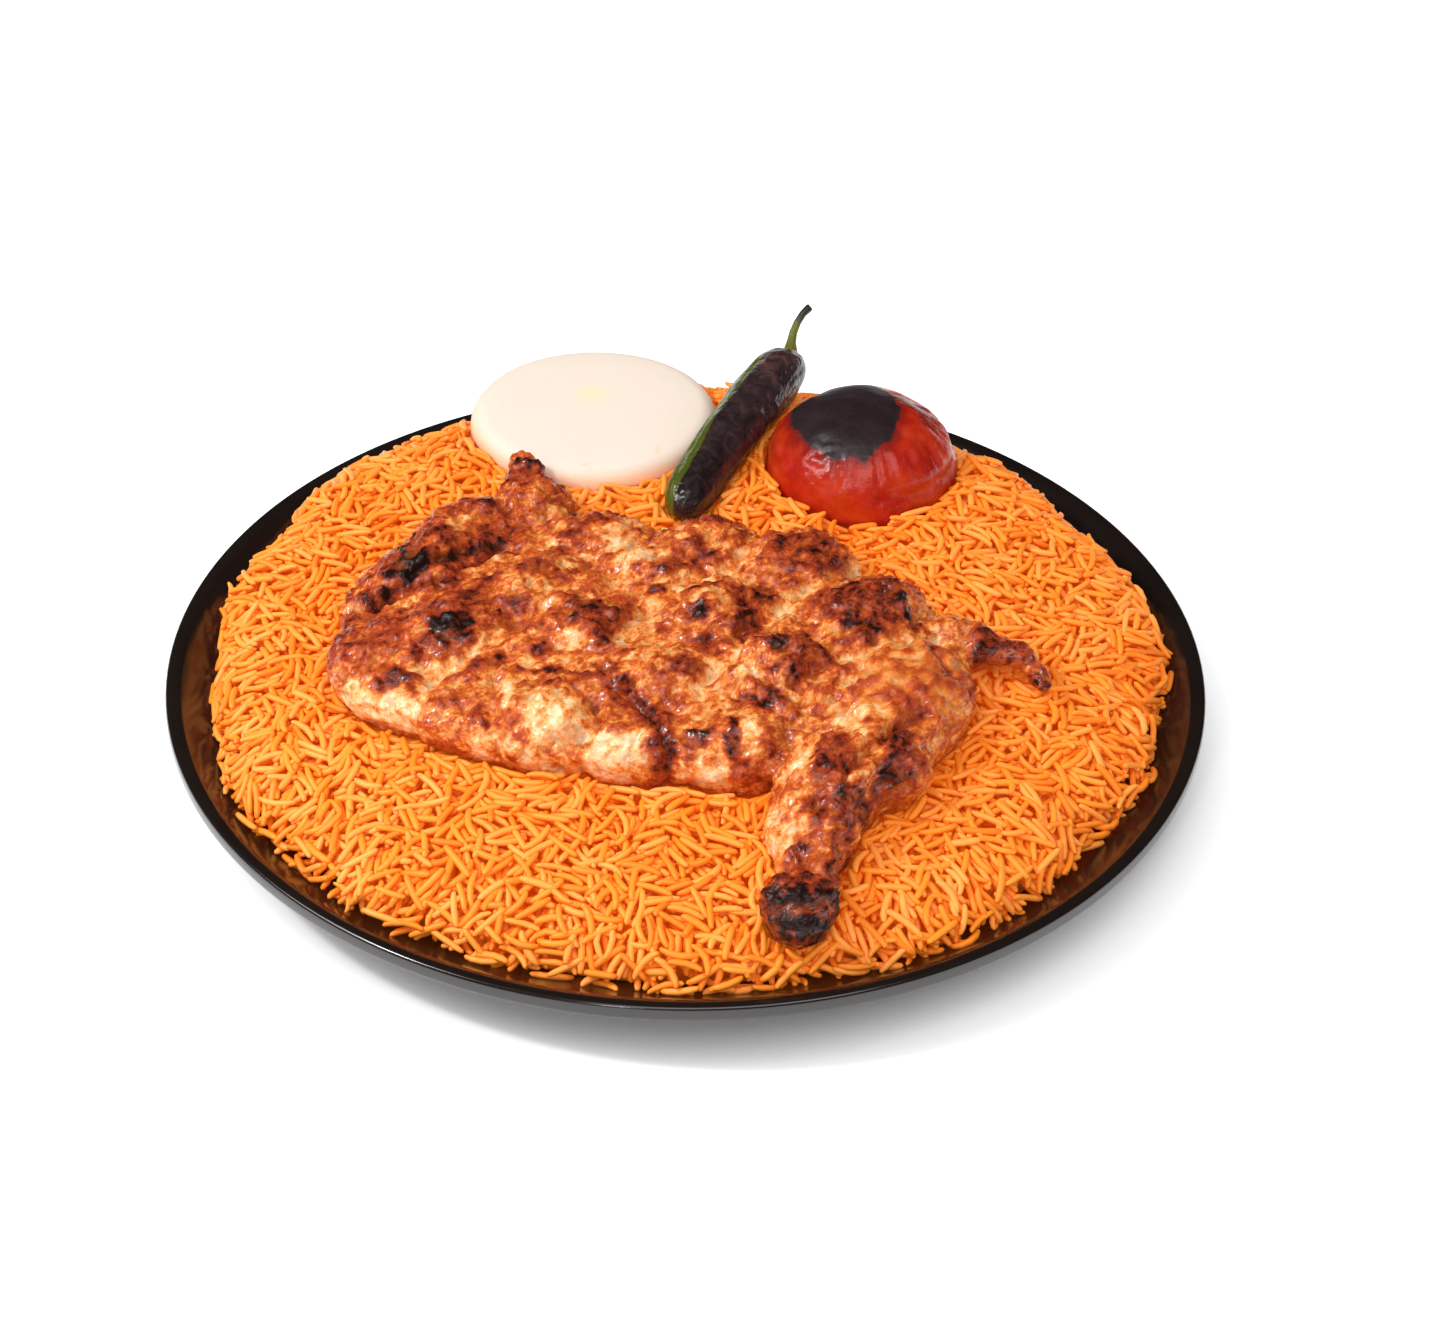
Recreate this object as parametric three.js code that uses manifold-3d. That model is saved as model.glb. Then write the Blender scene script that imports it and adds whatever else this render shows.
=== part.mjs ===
// A plate of chicken kabsa, in millimetres, +Z up. The origin is on the table, under the middle of the plate.
// -Y is the diner's side. A black round plate holds a flat-topped heap of orange long-grain rice. On the rice lie
// half a grilled chicken, scored on the slant, half an onion with its cut face up, half a charred tomato and a
// charred green chilli with its stalk.
import * as THREE from "three";
import { mergeVertices } from "three/addons/utils/BufferGeometryUtils.js";
import Module from "manifold-3d";

const wasm = await Module();
wasm.setup();

// ---------- Driving dimensions ----------
const GAP = 0.4; // air between two pieces that touch
const PLATE = { radius: 155, height: 24, wall: 3.2, floorRadius: 104, floor: 5.5, segments: 56 };
const FOOT = { radius: 92, width: 5, recess: 1.6 }; // the ring that the plate stands on
const RIM = { width: 4.8, thickness: 4.8, rounding: 1.2 }; // the flat lip round the plate's edge
const RIM_INSIDE = PLATE.radius - RIM.width;
const HEAP = { radius: 143, shoulder: 32, crown: 6.5, backRise: 8, edge: 0.9 };
const GRAIN = { length: 10.5, radius: 1.3 }; // a cooked long grain
const EDGE_GRAINS = 66; // grains that stick out of the heap's outline
const ONION = { x: -32, y: 99.5, radius: 40, face: 49, depth: 24 };
const TOMATO = { x: 53.5, y: 79, radius: 31, base: 35, height: 29.5 };
const CHILLI = { from: [-4, 42, 47.5], to: [32, 126, 53], radius: 8.9 };
const SCORE = { width: 5.2, depth: 8 }; // half width and half depth of the blade that scores the chicken

// ---------- Small tools ----------
// Seeded random numbers from 0 to 1, the same on every run.
function randomFrom(seed) {
  return () => {
    seed = (seed + 0x6d2b79f5) | 0;
    let t = Math.imul(seed ^ (seed >>> 15), 1 | seed);
    t = (t + Math.imul(t ^ (t >>> 7), 61 | t)) ^ t;
    return ((t ^ (t >>> 14)) >>> 0) / 4294967296;
  };
}

const smooth = THREE.MathUtils.smoothstep;
const radians = THREE.MathUtils.degToRad;

// A geometry with nothing but places, whose neighbouring faces share their corners.
function shared(geometry, tolerance) {
  const bare = geometry.clone();
  bare.deleteAttribute("normal");
  bare.deleteAttribute("uv");
  return mergeVertices(bare, tolerance);
}

// A closed geometry as a solid that can be joined and cut.
function solidOf(geometry) {
  const merged = shared(geometry, 1e-3);
  return new wasm.Manifold(
    new wasm.Mesh({
      numProp: 3,
      vertProperties: merged.attributes.position.array,
      triVerts: new Uint32Array(merged.index.array),
    }),
  );
}

// The largest body of a solid, with any sealed hollow filled and any loose scrap dropped.
function mainBody(solid) {
  return solid.decompose().reduce((best, body) => (body.volume() > best.volume() ? body : best));
}

function geometryOf(solid) {
  const mesh = solid.getMesh();
  const geometry = new THREE.BufferGeometry();
  geometry.setAttribute("position", new THREE.BufferAttribute(new Float32Array(mesh.vertProperties), 3));
  geometry.setIndex(new THREE.BufferAttribute(new Uint32Array(mesh.triVerts), 1));
  geometry.computeVertexNormals();
  return geometry;
}

// A profile of [radius, height] points, from the bottom of the axis to its top, turned about Z.
function turned(profile, segments) {
  const points = profile.map(([r, z]) => new THREE.Vector2(r, z));
  return new THREE.LatheGeometry(points, segments).rotateX(Math.PI / 2).rotateZ(Math.PI);
}

// Moves every vertex by a function of its place, so that a turned shape comes out uneven.
function reshape(geometry, change) {
  const place = geometry.attributes.position;
  const p = new THREE.Vector3();
  for (let i = 0; i < place.count; i++) {
    change(p.fromBufferAttribute(place, i));
    place.setXYZ(i, p.x, p.y, p.z);
  }
  return geometry;
}

// A body that lies flat: a double pyramid of six sides, whose faces are divided into small triangles of about one
// size. place(angle, share, upper) puts each corner: share is 0 on the axis and 1 at the outline.
function flatBody(divisions, place) {
  const sides = [0, 1, 2, 3, 4, 5];
  const base = sides.flatMap((k) => [Math.cos((k * Math.PI) / 3), Math.sin((k * Math.PI) / 3), 0]);
  const faces = sides.flatMap((k) => [k, (k + 1) % 6, 6, (k + 1) % 6, k, 7]);
  const corners = [...base, 0, 0, 1, 0, 0, -1];
  const pyramid = shared(new THREE.PolyhedronGeometry(corners, faces, 1, divisions - 1), 1e-5);
  const toPlace = (p) => {
    const angle = Math.atan2(p.y, p.x);
    const flat = Math.cos(((angle + 2 * Math.PI) % (Math.PI / 3)) - Math.PI / 6) / Math.cos(Math.PI / 6);
    const across = Math.hypot(p.x, p.y) * flat;
    p.set(...place(angle, across / (across + Math.abs(p.z)), p.z > -1e-6));
  };
  return solidOf(reshape(pyramid, toPlace));
}

// Lays a shape that stands on the origin along +Z between two points.
function layBetween(geometry, from, to) {
  const start = new THREE.Vector3(...from);
  const way = new THREE.Vector3(...to).sub(start).normalize();
  const turn = new THREE.Quaternion().setFromUnitVectors(new THREE.Vector3(0, 0, 1), way);
  return geometry.applyQuaternion(turn).translate(start.x, start.y, start.z);
}

// ---------- Plate ----------
// Height of the plate's upper face at a radius: a flat floor, then a bowl that grows steeper up to the rim.
function plateInside(r) {
  const t = Math.max(0, (r - PLATE.floorRadius) / (RIM_INSIDE - PLATE.floorRadius));
  return PLATE.floor + (PLATE.height - RIM.rounding - PLATE.floor) * t ** 2;
}

// Points of the plate's upper face, as [radius, height], at shares of the way from its floor to its rim.
function bowl(shares) {
  const radii = shares.map((share) => THREE.MathUtils.lerp(PLATE.floorRadius, RIM_INSIDE, share));
  return radii.map((r) => [r, plateInside(r)]);
}

function plate() {
  const under = bowl([0.3, 0.65]).map(([r, z]) => [r + PLATE.wall / 2, z - PLATE.wall]);
  const rim = [
    [PLATE.radius - RIM.rounding, PLATE.height - RIM.thickness],
    [PLATE.radius, PLATE.height - RIM.thickness + RIM.rounding],
    [PLATE.radius, PLATE.height - RIM.rounding],
    [PLATE.radius - RIM.rounding, PLATE.height],
    [RIM_INSIDE + RIM.rounding, PLATE.height - 0.3],
  ];
  const foot = [
    [0, FOOT.recess],
    [FOOT.radius - 3, FOOT.recess],
    [FOOT.radius, 0],
    [FOOT.radius + FOOT.width, 0],
  ];
  const inside = bowl([0, 0.35, 0.7, 1]).reverse();
  return turned([...foot, ...under, ...rim, ...inside, [0, PLATE.floor]], PLATE.segments);
}

// ---------- Rice heap ----------
// The heap's outline is uneven: its radius changes with the direction.
function heapRadius(angle) {
  const waves = [[5, 1.5, 1], [11, 1.1, 0], [17, 0.8, 2]]; // [waves round the heap, size, start]
  return waves.reduce((r, [count, size, start]) => r + size * Math.sin(count * angle + start), HEAP.radius);
}

// Height of the bare heap: steep sides, a flat crown, and a little more rice at the back.
function heapTop(x, y) {
  const edge = heapRadius(Math.atan2(y, x));
  const t = Math.min(1, Math.hypot(x, y) / edge);
  const outline = plateInside(Math.min(edge, RIM_INSIDE)) + GAP + HEAP.edge;
  const crown = HEAP.shoulder + HEAP.crown * (1 - t * t) + HEAP.backRise * smooth(y, 0, 95);
  return THREE.MathUtils.lerp(outline, crown, (1 - t ** 10) ** 0.6);
}

// The heap as a solid: its top is lifted by raise(x, y), and its lower half is cut to the plate.
function heapSolid(divisions, raise) {
  const body = flatBody(divisions, (angle, share, upper) => {
    const r = heapRadius(angle) * share;
    const [x, y] = [r * Math.cos(angle), r * Math.sin(angle)];
    if (!upper) return [x, y, heapTop(x, y) - 6 - 160 * (1 - share)];
    return [x, y, heapTop(x, y) + (share < 0.999 ? raise(x, y) : 0)];
  });
  return body.intersect(hollow());
}

// The space above the plate's upper face, less a little air.
function hollow() {
  const bottom = bowl([0, 0.35, 0.7, 1]).map(([r, z]) => [r, z + GAP]);
  return solidOf(turned([[0, PLATE.floor + GAP], ...bottom, [RIM_INSIDE, 90], [0, 90]], PLATE.segments));
}

// One grain: a spindle of five sides, from one point to another.
function grainBetween(from, to) {
  const length = Math.hypot(to[0] - from[0], to[1] - from[1], to[2] - from[2]);
  const profile = [[0, 0], [GRAIN.radius, 0.22 * length], [GRAIN.radius, 0.78 * length], [0, length]];
  return solidOf(layBetween(turned(profile, 5), from, to));
}

// ---------- Chicken ----------
// The meat is a body that lies flat, raised by swellings. Each one is a dome over an ellipse at x, y, with half
// lengths rx and ry, turned about Z, and its top at the given height. MEAT.edge is the height of the outline.
const MEAT = { x: 0, y: -24, edge: 45.5, divisions: 15 };

// The slabs carry the outline: breast at the left, back in the middle, thigh at the right.
const SLABS = [
  { x: -56, y: -13, rx: 44, ry: 49, top: 54, turn: 12 },
  { x: -38, y: -33, rx: 52, ry: 43, top: 54, turn: -24 },
  { x: 2, y: -22, rx: 44, ry: 55, top: 55 },
  { x: 36, y: -30, rx: 43, ry: 50, top: 55, turn: 38 },
];

// The mounds between the score cuts, from the breast's end to the thigh.
const MOUNDS = [
  { x: -85, y: -38, rx: 17, ry: 21, top: 55, turn: 20 },
  { x: -76, y: 10, rx: 22, ry: 13, top: 58, turn: 45 },
  { x: -67, y: 31, rx: 17, ry: 10, top: 57, turn: 18 },
  { x: -68, y: -27, rx: 22, ry: 14, top: 60, turn: 40 },
  { x: -46, y: -6, rx: 21, ry: 13, top: 60, turn: 42 },
  { x: -60, y: -59, rx: 26, ry: 11, top: 52, turn: -22 },
  { x: -36, y: -62, rx: 16, ry: 15, top: 57 },
  { x: -13, y: -72, rx: 18, ry: 10, top: 54, turn: -8 },
  { x: -28, y: -28, rx: 17, ry: 15, top: 60, turn: 40 },
  { x: -28, y: 22, rx: 21, ry: 13, top: 57, turn: 8 },
  { x: -12, y: 3, rx: 17, ry: 12, top: 59, turn: 35 },
  { x: -8, y: -47, rx: 17, ry: 14, top: 59, turn: 20 },
  { x: 8, y: -20, rx: 20, ry: 13, top: 62, turn: 50 },
  { x: 4, y: 16, rx: 20, ry: 13, top: 60, turn: 30 },
  { x: 32, y: 10, rx: 20, ry: 17, top: 59, turn: 45 },
  { x: 50, y: -19, rx: 26, ry: 15, top: 62, turn: 45 },
  { x: 26, y: -45, rx: 21, ry: 13, top: 62, turn: 45 },
  { x: 17, y: -72, rx: 19, ry: 13, top: 56, turn: 8 },
  { x: 62, y: -52, rx: 19, ry: 27, top: 59, turn: -24 },
  { x: 54, y: -79, rx: 15, ry: 14, top: 57 },
];

// A place in a swelling's own frame, where the ellipse is a circle of radius 1. margin widens the ellipse.
function within({ x, y, rx, ry, turn = 0 }, px, py, margin = 0) {
  const [c, s] = [Math.cos(radians(turn)), Math.sin(radians(turn))];
  return [((px - x) * c + (py - y) * s) / (rx + margin), ((py - y) * c - (px - x) * s) / (ry + margin)];
}

// How far the outline of all the swellings lies from the meat's middle in a direction.
function meatRadius(angle) {
  const exits = [...SLABS, ...MOUNDS].map((part) => {
    const [fromX, fromY] = within(part, MEAT.x, MEAT.y);
    const [toX, toY] = within(part, MEAT.x + Math.cos(angle), MEAT.y + Math.sin(angle));
    const [wayX, wayY] = [toX - fromX, toY - fromY];
    const a = wayX ** 2 + wayY ** 2;
    const b = fromX * wayX + fromY * wayY;
    const root = b * b - a * (fromX ** 2 + fromY ** 2 - 1);
    return root < 0 ? 0 : (Math.sqrt(root) - b) / a;
  });
  return Math.max(...exits);
}

// Height of the meat: the swellings' domes, blended where they meet.
function meatTop(x, y) {
  const domes = [...SLABS, ...MOUNDS].map((part) => {
    const inside = 1 - Math.hypot(...within(part, x, y)) ** 2;
    return inside > 0 ? (part.top - MEAT.edge) * Math.sqrt(inside) : 0;
  });
  return MEAT.edge + domes.reduce((sum, dome) => sum + dome ** 12, 0) ** (1 / 12);
}

function meat() {
  const random = randomFrom(3);
  return flatBody(MEAT.divisions, (angle, t, upper) => {
    const share = Math.sin((t * Math.PI) / 2); // brings the corners closer together near the edge
    const r = meatRadius(angle) * share;
    const [x, y] = [MEAT.x + r * Math.cos(angle), MEAT.y + r * Math.sin(angle)];
    if (!upper) return [x, y, MEAT.edge - 30 * Math.sqrt(1 - share ** 2)];
    return [x, y, meatTop(x, y) + (t < 0.99 ? 0.9 * (random() - 0.5) : 0)];
  });
}

// Small ends: the wing's stub at the back, the tip at the right, and the drumstick's charred knuckle.
const ENDS = [
  { x: -48, y: 41, rx: 14, ry: 13, top: 57 },
  { x: -51, y: 55, rx: 6, ry: 12, top: 57, turn: 12, middle: 50 },
  { x: 78, y: -22, rx: 15, ry: 9, top: 53, turn: -5 },
  { x: 92, y: -26, rx: 11, ry: 6, top: 51, turn: -22 },
  { x: 101, y: -33, rx: 4, ry: 8, top: 48, turn: 28, middle: 43 },
  { x: 32, y: -131, rx: 10.8, ry: 11, top: 49, middle: 38 },
];

// The score cuts: long shallow blades, all on the same slant.
const SCORES = [
  { x: -70, y: -2, half: 30, turn: 48 },
  { x: -58, y: -42, half: 34, turn: 47 },
  { x: -1, y: -8, half: 30, turn: 48 },
  { x: 28, y: -18, half: 44, turn: 50 },
  { x: 54, y: -38, half: 34, turn: 36 },
];

// Drumstick: from the knee over the calf down to the ankle, [distance, radius].
const DRUMSTICK = { from: [45, -74, 46], to: [32, -128, 39] };
const DRUMSTICK_RADII = [[0, 8], [6, 16], [20, 17.5], [34, 14.5], [44, 10.5], [52, 8.6]];

function drumstick() {
  const length = new THREE.Vector3(...DRUMSTICK.from).distanceTo(new THREE.Vector3(...DRUMSTICK.to));
  const profile = [[0, 0], ...DRUMSTICK_RADII.map(([along, r]) => [r, along]), [0, length]];
  const flat = 0.82; // a little lower than it is wide
  const shape = turned(profile, 12);
  reshape(shape, (p) => p.set(p.x * (1 + 0.05 * Math.sin(p.z / 5)), p.y * flat, p.z));
  return layBetween(shape, DRUMSTICK.from, DRUMSTICK.to);
}

// A thin end is an uneven ball.
function thinEnd({ x, y, rx, ry, top, turn = 0, middle = 46 }) {
  const ball = new THREE.SphereGeometry(1, 8, 6).rotateX(Math.PI / 2);
  return solidOf(ball.scale(rx, ry, top - middle).rotateZ(radians(turn)).translate(x, y, middle));
}

function chicken(riceCutter) {
  const whole = wasm.Manifold.union([meat(), solidOf(drumstick()), ...ENDS.map(thinEnd)]);
  const blades = SCORES.map(({ x, y, half, turn }) => {
    const blade = new THREE.SphereGeometry(1, 7, 4).rotateX(Math.PI / 2);
    return solidOf(blade.scale(half, SCORE.width, SCORE.depth).rotateZ(radians(turn)).translate(x, y, 63));
  });
  return mainBody(whole.subtract(wasm.Manifold.union(blades)).subtract(riceCutter));
}

// ---------- Vegetables ----------
// Half an onion, cut across: a bowl below, and a cut face whose rings stand a little proud of each other.
function onion(grow = 0) {
  const [r, depth] = [ONION.radius + grow, ONION.depth + grow];
  const bowl = [90, 68, 46, 26, 10].map((degrees) => [
    r * Math.cos(radians(degrees)) ** 0.8,
    ONION.face - depth * Math.sin(radians(degrees)),
  ]);
  bowl[0][0] = 0;
  const rings = [0.72, 0.4].flatMap((share) => [
    [r * share + 1.5, ONION.face + grow],
    [r * share, ONION.face + grow - 0.5],
  ]);
  const face = grow ? [] : rings;
  const top = ONION.face + grow;
  const profile = [...bowl, [r, ONION.face - 2.5], [r - 1.2, top], ...face, [0, top]];
  const shape = turned(profile, 24);
  const uneven = (p) => {
    const wobble = 1 + 0.012 * Math.sin(3 * Math.atan2(p.y, p.x));
    p.set(p.x * wobble, p.y * wobble, p.z);
  };
  return reshape(shape, uneven).translate(ONION.x, ONION.y, 0);
}

// Half a grilled tomato on its cut face: a low dome, slumped and a little lobed.
function tomato(grow = 0) {
  const [r, height] = [TOMATO.radius + grow, TOMATO.height + grow];
  const dome = [16, 32, 48, 62, 76].map((degrees) => [
    r * Math.cos(radians(degrees)) ** 0.75,
    TOMATO.base + 4 + (height - 4) * Math.sin(radians(degrees)),
  ]);
  const base = TOMATO.base;
  const foot = [[0, base - grow], [r - 4, base - grow], [r - 0.6, base + 3], [r, base + 6]];
  const profile = [...foot, ...dome, [0, base + height - 0.6]];
  const lobed = (p) => {
    const side = smooth(Math.hypot(p.x, p.y), 4, r);
    const lobe = 1 + 0.022 * side * Math.cos(5 * Math.atan2(p.y, p.x) + 0.6);
    p.set(p.x * lobe, p.y * lobe, p.z);
  };
  return reshape(turned(profile, 26), lobed).translate(TOMATO.x, TOMATO.y, 0);
}

// The chilli's pod from its blunt tip to the shoulder at the stalk: [share of its length, share of its radius].
const POD = [
  [0.02, 0.32],
  [0.07, 0.66],
  [0.16, 0.88],
  [0.35, 0.97],
  [0.55, 1],
  [0.78, 0.99],
  [0.91, 0.86],
  [0.97, 0.6],
];

function chilliPod(grow = 0) {
  const [from, to] = [CHILLI.from, CHILLI.to].map((p) => new THREE.Vector3(...p));
  const length = from.distanceTo(to);
  const side = POD.map(([t, r]) => [r * CHILLI.radius + grow, t * length]);
  const profile = [[0, -grow], ...side, [0, length + grow]];
  const shape = turned(profile, 12);
  reshape(shape, (p) => {
    p.x += 1.6 * Math.sin((Math.PI * p.z) / length); // a slight bend
    p.multiplyScalar(1); // keeps the length
  });
  return solidOf(layBetween(shape, CHILLI.from, CHILLI.to));
}

// Calyx and stalk: a cap on the pod's shoulder that narrows into a stalk, bent up and to the right.
function chilliStalk() {
  const route = new THREE.CatmullRomCurve3([
    new THREE.Vector3(30.8, 124.2, 53),
    new THREE.Vector3(31.4, 130, 57),
    new THREE.Vector3(33, 134, 61),
    new THREE.Vector3(37.5, 138, 65.5),
  ]);
  const section = new THREE.Shape().absarc(0, 0, 1.7, 0, 2 * Math.PI);
  const settings = { steps: 8, curveSegments: 4, extrudePath: route, bevelEnabled: false };
  const stalk = new THREE.ExtrudeGeometry(section, settings);
  const cap = new THREE.SphereGeometry(1, 10, 6).scale(5.4, 4.2, 3.2).rotateX(radians(-35));
  return solidOf(stalk).add(solidOf(cap.translate(31, 125.5, 54.2)));
}

// ---------- Putting it together ----------
// True where a topping lies over the heap, or less than margin away from one.
function covered(x, y, margin) {
  const overRod = (from, to, radius) => {
    const [ax, ay] = [to[0] - from[0], to[1] - from[1]];
    const t = THREE.MathUtils.clamp(((x - from[0]) * ax + (y - from[1]) * ay) / (ax * ax + ay * ay), 0, 1);
    return Math.hypot(x - from[0] - t * ax, y - from[1] - t * ay) < radius + margin;
  };
  return (
    [...SLABS, ...MOUNDS, ...ENDS].some((part) => Math.hypot(...within(part, x, y, margin)) < 1) ||
    overRod(DRUMSTICK.from, DRUMSTICK.to, 15) ||
    overRod(CHILLI.from, CHILLI.to, CHILLI.radius) ||
    Math.hypot(x - ONION.x, y - ONION.y) < ONION.radius + margin ||
    Math.hypot(x - TOMATO.x, y - TOMATO.y) < TOMATO.radius + margin
  );
}

function rice() {
  const random = randomFrom(7);
  const pressed = 1.3; // the heap lies this much lower under a topping
  const bump = () => 1.9 * random() - 0.3; // relief the height of a grain
  const heap = heapSolid(24, (x, y) => (covered(x, y, 5) ? -pressed : bump()));
  const grains = [];
  for (let i = 0; i < EDGE_GRAINS; i++) {
    const angle = (2 * Math.PI * (i + 0.8 * random())) / EDGE_GRAINS;
    const slant = (random() - 0.5) * 0.11; // how far the inner end lies round the outline, in radians
    const reach = 1 + 3.2 * random();
    const [inner, outer] = [heapRadius(angle) - GRAIN.length + 2 + reach, heapRadius(angle) + reach];
    const ends = [[inner, angle + slant], [outer, angle]].map(([r, a]) => [r * Math.cos(a), r * Math.sin(a)]);
    if (covered(...ends[0], 5)) continue;
    const lift = GRAIN.radius + GAP + 0.5 * random();
    grains.push(grainBetween(
      [...ends[0], heapTop(...ends[0]) + 0.2],
      [...ends[1], plateInside(outer) + lift],
    ));
  }
  const toppings = [solidOf(onion(GAP)), solidOf(tomato(GAP)), chilliPod(GAP)];
  return mainBody(wasm.Manifold.union([heap, ...grains]).subtract(wasm.Manifold.union(toppings)));
}

const group = new THREE.Group();

function addPiece(name, geometry, color, roughness) {
  const mesh = new THREE.Mesh(geometry, new THREE.MeshStandardMaterial({ color, roughness, metalness: 0 }));
  mesh.name = name;
  group.add(mesh);
}

const riceCutter = heapSolid(10, () => -0.2);
const chilliSolid = mainBody(chilliPod().add(chilliStalk()));

addPiece("plate", plate(), 0x161416, 0.22);
addPiece("rice", geometryOf(rice()), 0xf09a3c, 0.5);
addPiece("chicken", geometryOf(chicken(riceCutter)), 0xc9803f, 0.45);
addPiece("onion", geometryOf(solidOf(onion())), 0xf8efe4, 0.35);
addPiece("tomato", geometryOf(solidOf(tomato()).subtract(chilliPod(GAP))), 0xcf3a17, 0.25);
addPiece("green_chilli", geometryOf(chilliSolid), 0x2e2a26, 0.35);

export default group;
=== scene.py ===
# %% [markdown]
# # A plate of chicken kabsa
# This lesson dresses a plain construction model of a rice platter with its real surfaces. The model is loaded
# first, and it fixes every size and place. Each piece of food is then made again with finer shape and a
# finish of its own: thousands of rice grains, grilled meat, a raw onion, a charred tomato and a charred green
# chilli.

# %% Load the model
import math

import bmesh
import bpy
import numpy as np
from mathutils import Matrix, Quaternion, Vector, noise
from mathutils.bvhtree import BVHTree


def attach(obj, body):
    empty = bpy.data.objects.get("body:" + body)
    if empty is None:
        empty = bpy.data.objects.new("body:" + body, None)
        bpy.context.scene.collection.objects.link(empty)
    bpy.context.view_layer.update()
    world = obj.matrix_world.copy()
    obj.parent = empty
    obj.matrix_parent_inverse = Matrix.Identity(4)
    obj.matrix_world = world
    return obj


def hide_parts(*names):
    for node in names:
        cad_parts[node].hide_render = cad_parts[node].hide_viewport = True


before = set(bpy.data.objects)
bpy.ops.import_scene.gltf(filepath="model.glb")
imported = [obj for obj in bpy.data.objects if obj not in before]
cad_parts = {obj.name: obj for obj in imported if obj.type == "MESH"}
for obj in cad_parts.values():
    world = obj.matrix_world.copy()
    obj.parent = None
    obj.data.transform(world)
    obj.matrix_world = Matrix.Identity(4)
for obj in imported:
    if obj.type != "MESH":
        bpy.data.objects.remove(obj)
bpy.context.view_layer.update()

# %% [markdown]
# ## Camera
# The picture is taken from the diner's side, looking down at about 37 degrees through a long lens. A long
# lens from almost a metre away keeps the plate's far edge nearly as wide as its near edge. The whole picture
# leans by one degree, so the camera is rolled by that much.

# %% Camera
MM = 0.001
ELEVATION = math.radians(36.576)
ROLL = math.radians(1.0283)
DISTANCE = 950 * MM
TARGET = Vector((10.02, 25.91, 0)) * MM


def linked(name, data):
    """A new object in the scene that shows the given data."""
    made = bpy.data.objects.new(name, data)
    bpy.context.collection.objects.link(made)
    return made


lens_data = bpy.data.cameras.new("camera")
lens_data.lens = 76.123
lens_data.sensor_width = 36
camera = linked("camera", lens_data)
back = Vector((0, -math.cos(ELEVATION), math.sin(ELEVATION)))
camera.location = TARGET + DISTANCE * back
camera.rotation_mode = "QUATERNION"
camera.rotation_quaternion = back.to_track_quat("Z", "Y") @ Quaternion((0, 0, 1), ROLL)
bpy.context.scene.camera = camera
print("camera at", [round(v, 4) for v in camera.location])

# %% [markdown]
# ## Light
# The dish stands on a white table in an even, bright room. A white world gives the even part. It is kept out
# of the reflections, because a white mirror image on every wet surface would wash the colours out. The main
# light comes from a softbox high on the left, with a small bare lamp beside it that puts sparks on the wet
# food. A larger softbox in front fills the shadows, and a second bare lamp, low in front, sparks on the faces
# towards the diner.

# %% Light
WHITE = (1, 1, 1, 1)
BLACK = (0, 0, 0, 1)
ROOM_STRENGTH = 0.6

scene = bpy.context.scene
scene.view_settings.view_transform = "Standard"
world = bpy.data.worlds.new("bright room")
world.use_nodes = True
room_light = world.node_tree.nodes["Background"].inputs
room_light["Color"].default_value = WHITE
room_light["Strength"].default_value = ROOM_STRENGTH
scene.world = world
world.cycles_visibility.glossy = False


def soft_lamp(name, place, size, power):
    """A square lamp aimed at the middle of the dish, in metres and watts."""
    data = bpy.data.lights.new(name, "AREA")
    data.size = size
    data.energy = power
    lamp = linked(name, data)
    lamp.location = place
    lamp.rotation_mode = "QUATERNION"
    lamp.rotation_quaternion = Vector(place).to_track_quat("Z", "Y")


soft_lamp("left softbox", (-0.72, -0.16, 0.8), 0.5, 4.5)
soft_lamp("spark lamp", (-0.66, -0.24, 0.82), 0.09, 4)
soft_lamp("front softbox", (0.15, -0.55, 0.95), 0.7, 4)
soft_lamp("front spark lamp", (-0.2, -0.95, 0.55), 0.07, 1.3)
print("lamps", bpy.data.lights.keys())

# %% [markdown]
# ## Writing a finish
# A finish is a small program of shader nodes. Wiring nodes by hand hides the sums that they stand for, so one
# class wraps a node's output and lets Python's own signs make the Math nodes. A second class makes the
# material, adds any other node in one line, and feeds the surface shader.


# %% Shader sums
class Value:
    """The output of a shader node, with Python's signs for sums."""

    def __init__(self, finish, socket):
        self.finish = finish
        self.socket = socket

    def sum_of(self, operation, first, second):
        return self.finish.node("ShaderNodeMath", {"operation": operation}, {0: first, 1: second})

    def __add__(self, other):
        return self.sum_of("ADD", self, other)

    def __sub__(self, other):
        return self.sum_of("SUBTRACT", self, other)

    def __mul__(self, other):
        return self.sum_of("MULTIPLY", self, other)

    def __rsub__(self, other):
        return self.sum_of("SUBTRACT", other, self)

    __radd__ = __add__
    __rmul__ = __mul__

    def between(self, low, high):
        """0 at low and below, 1 at high and above, smooth in between."""
        sockets = {"Value": self, "From Min": low, "From Max": high}
        return self.finish.node("ShaderNodeMapRange", {"interpolation_type": "SMOOTHSTEP"}, sockets)


# %% Finish class
def colour(red, green, blue):
    """A colour as seen on a screen, 0 to 255, in the linear light that shaders use."""
    parts = [part / 255 for part in (red, green, blue)]
    linear = [part / 12.92 if part <= 0.04045 else ((part + 0.055) / 1.055) ** 2.4 for part in parts]
    return (*linear, 1.0)


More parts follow.
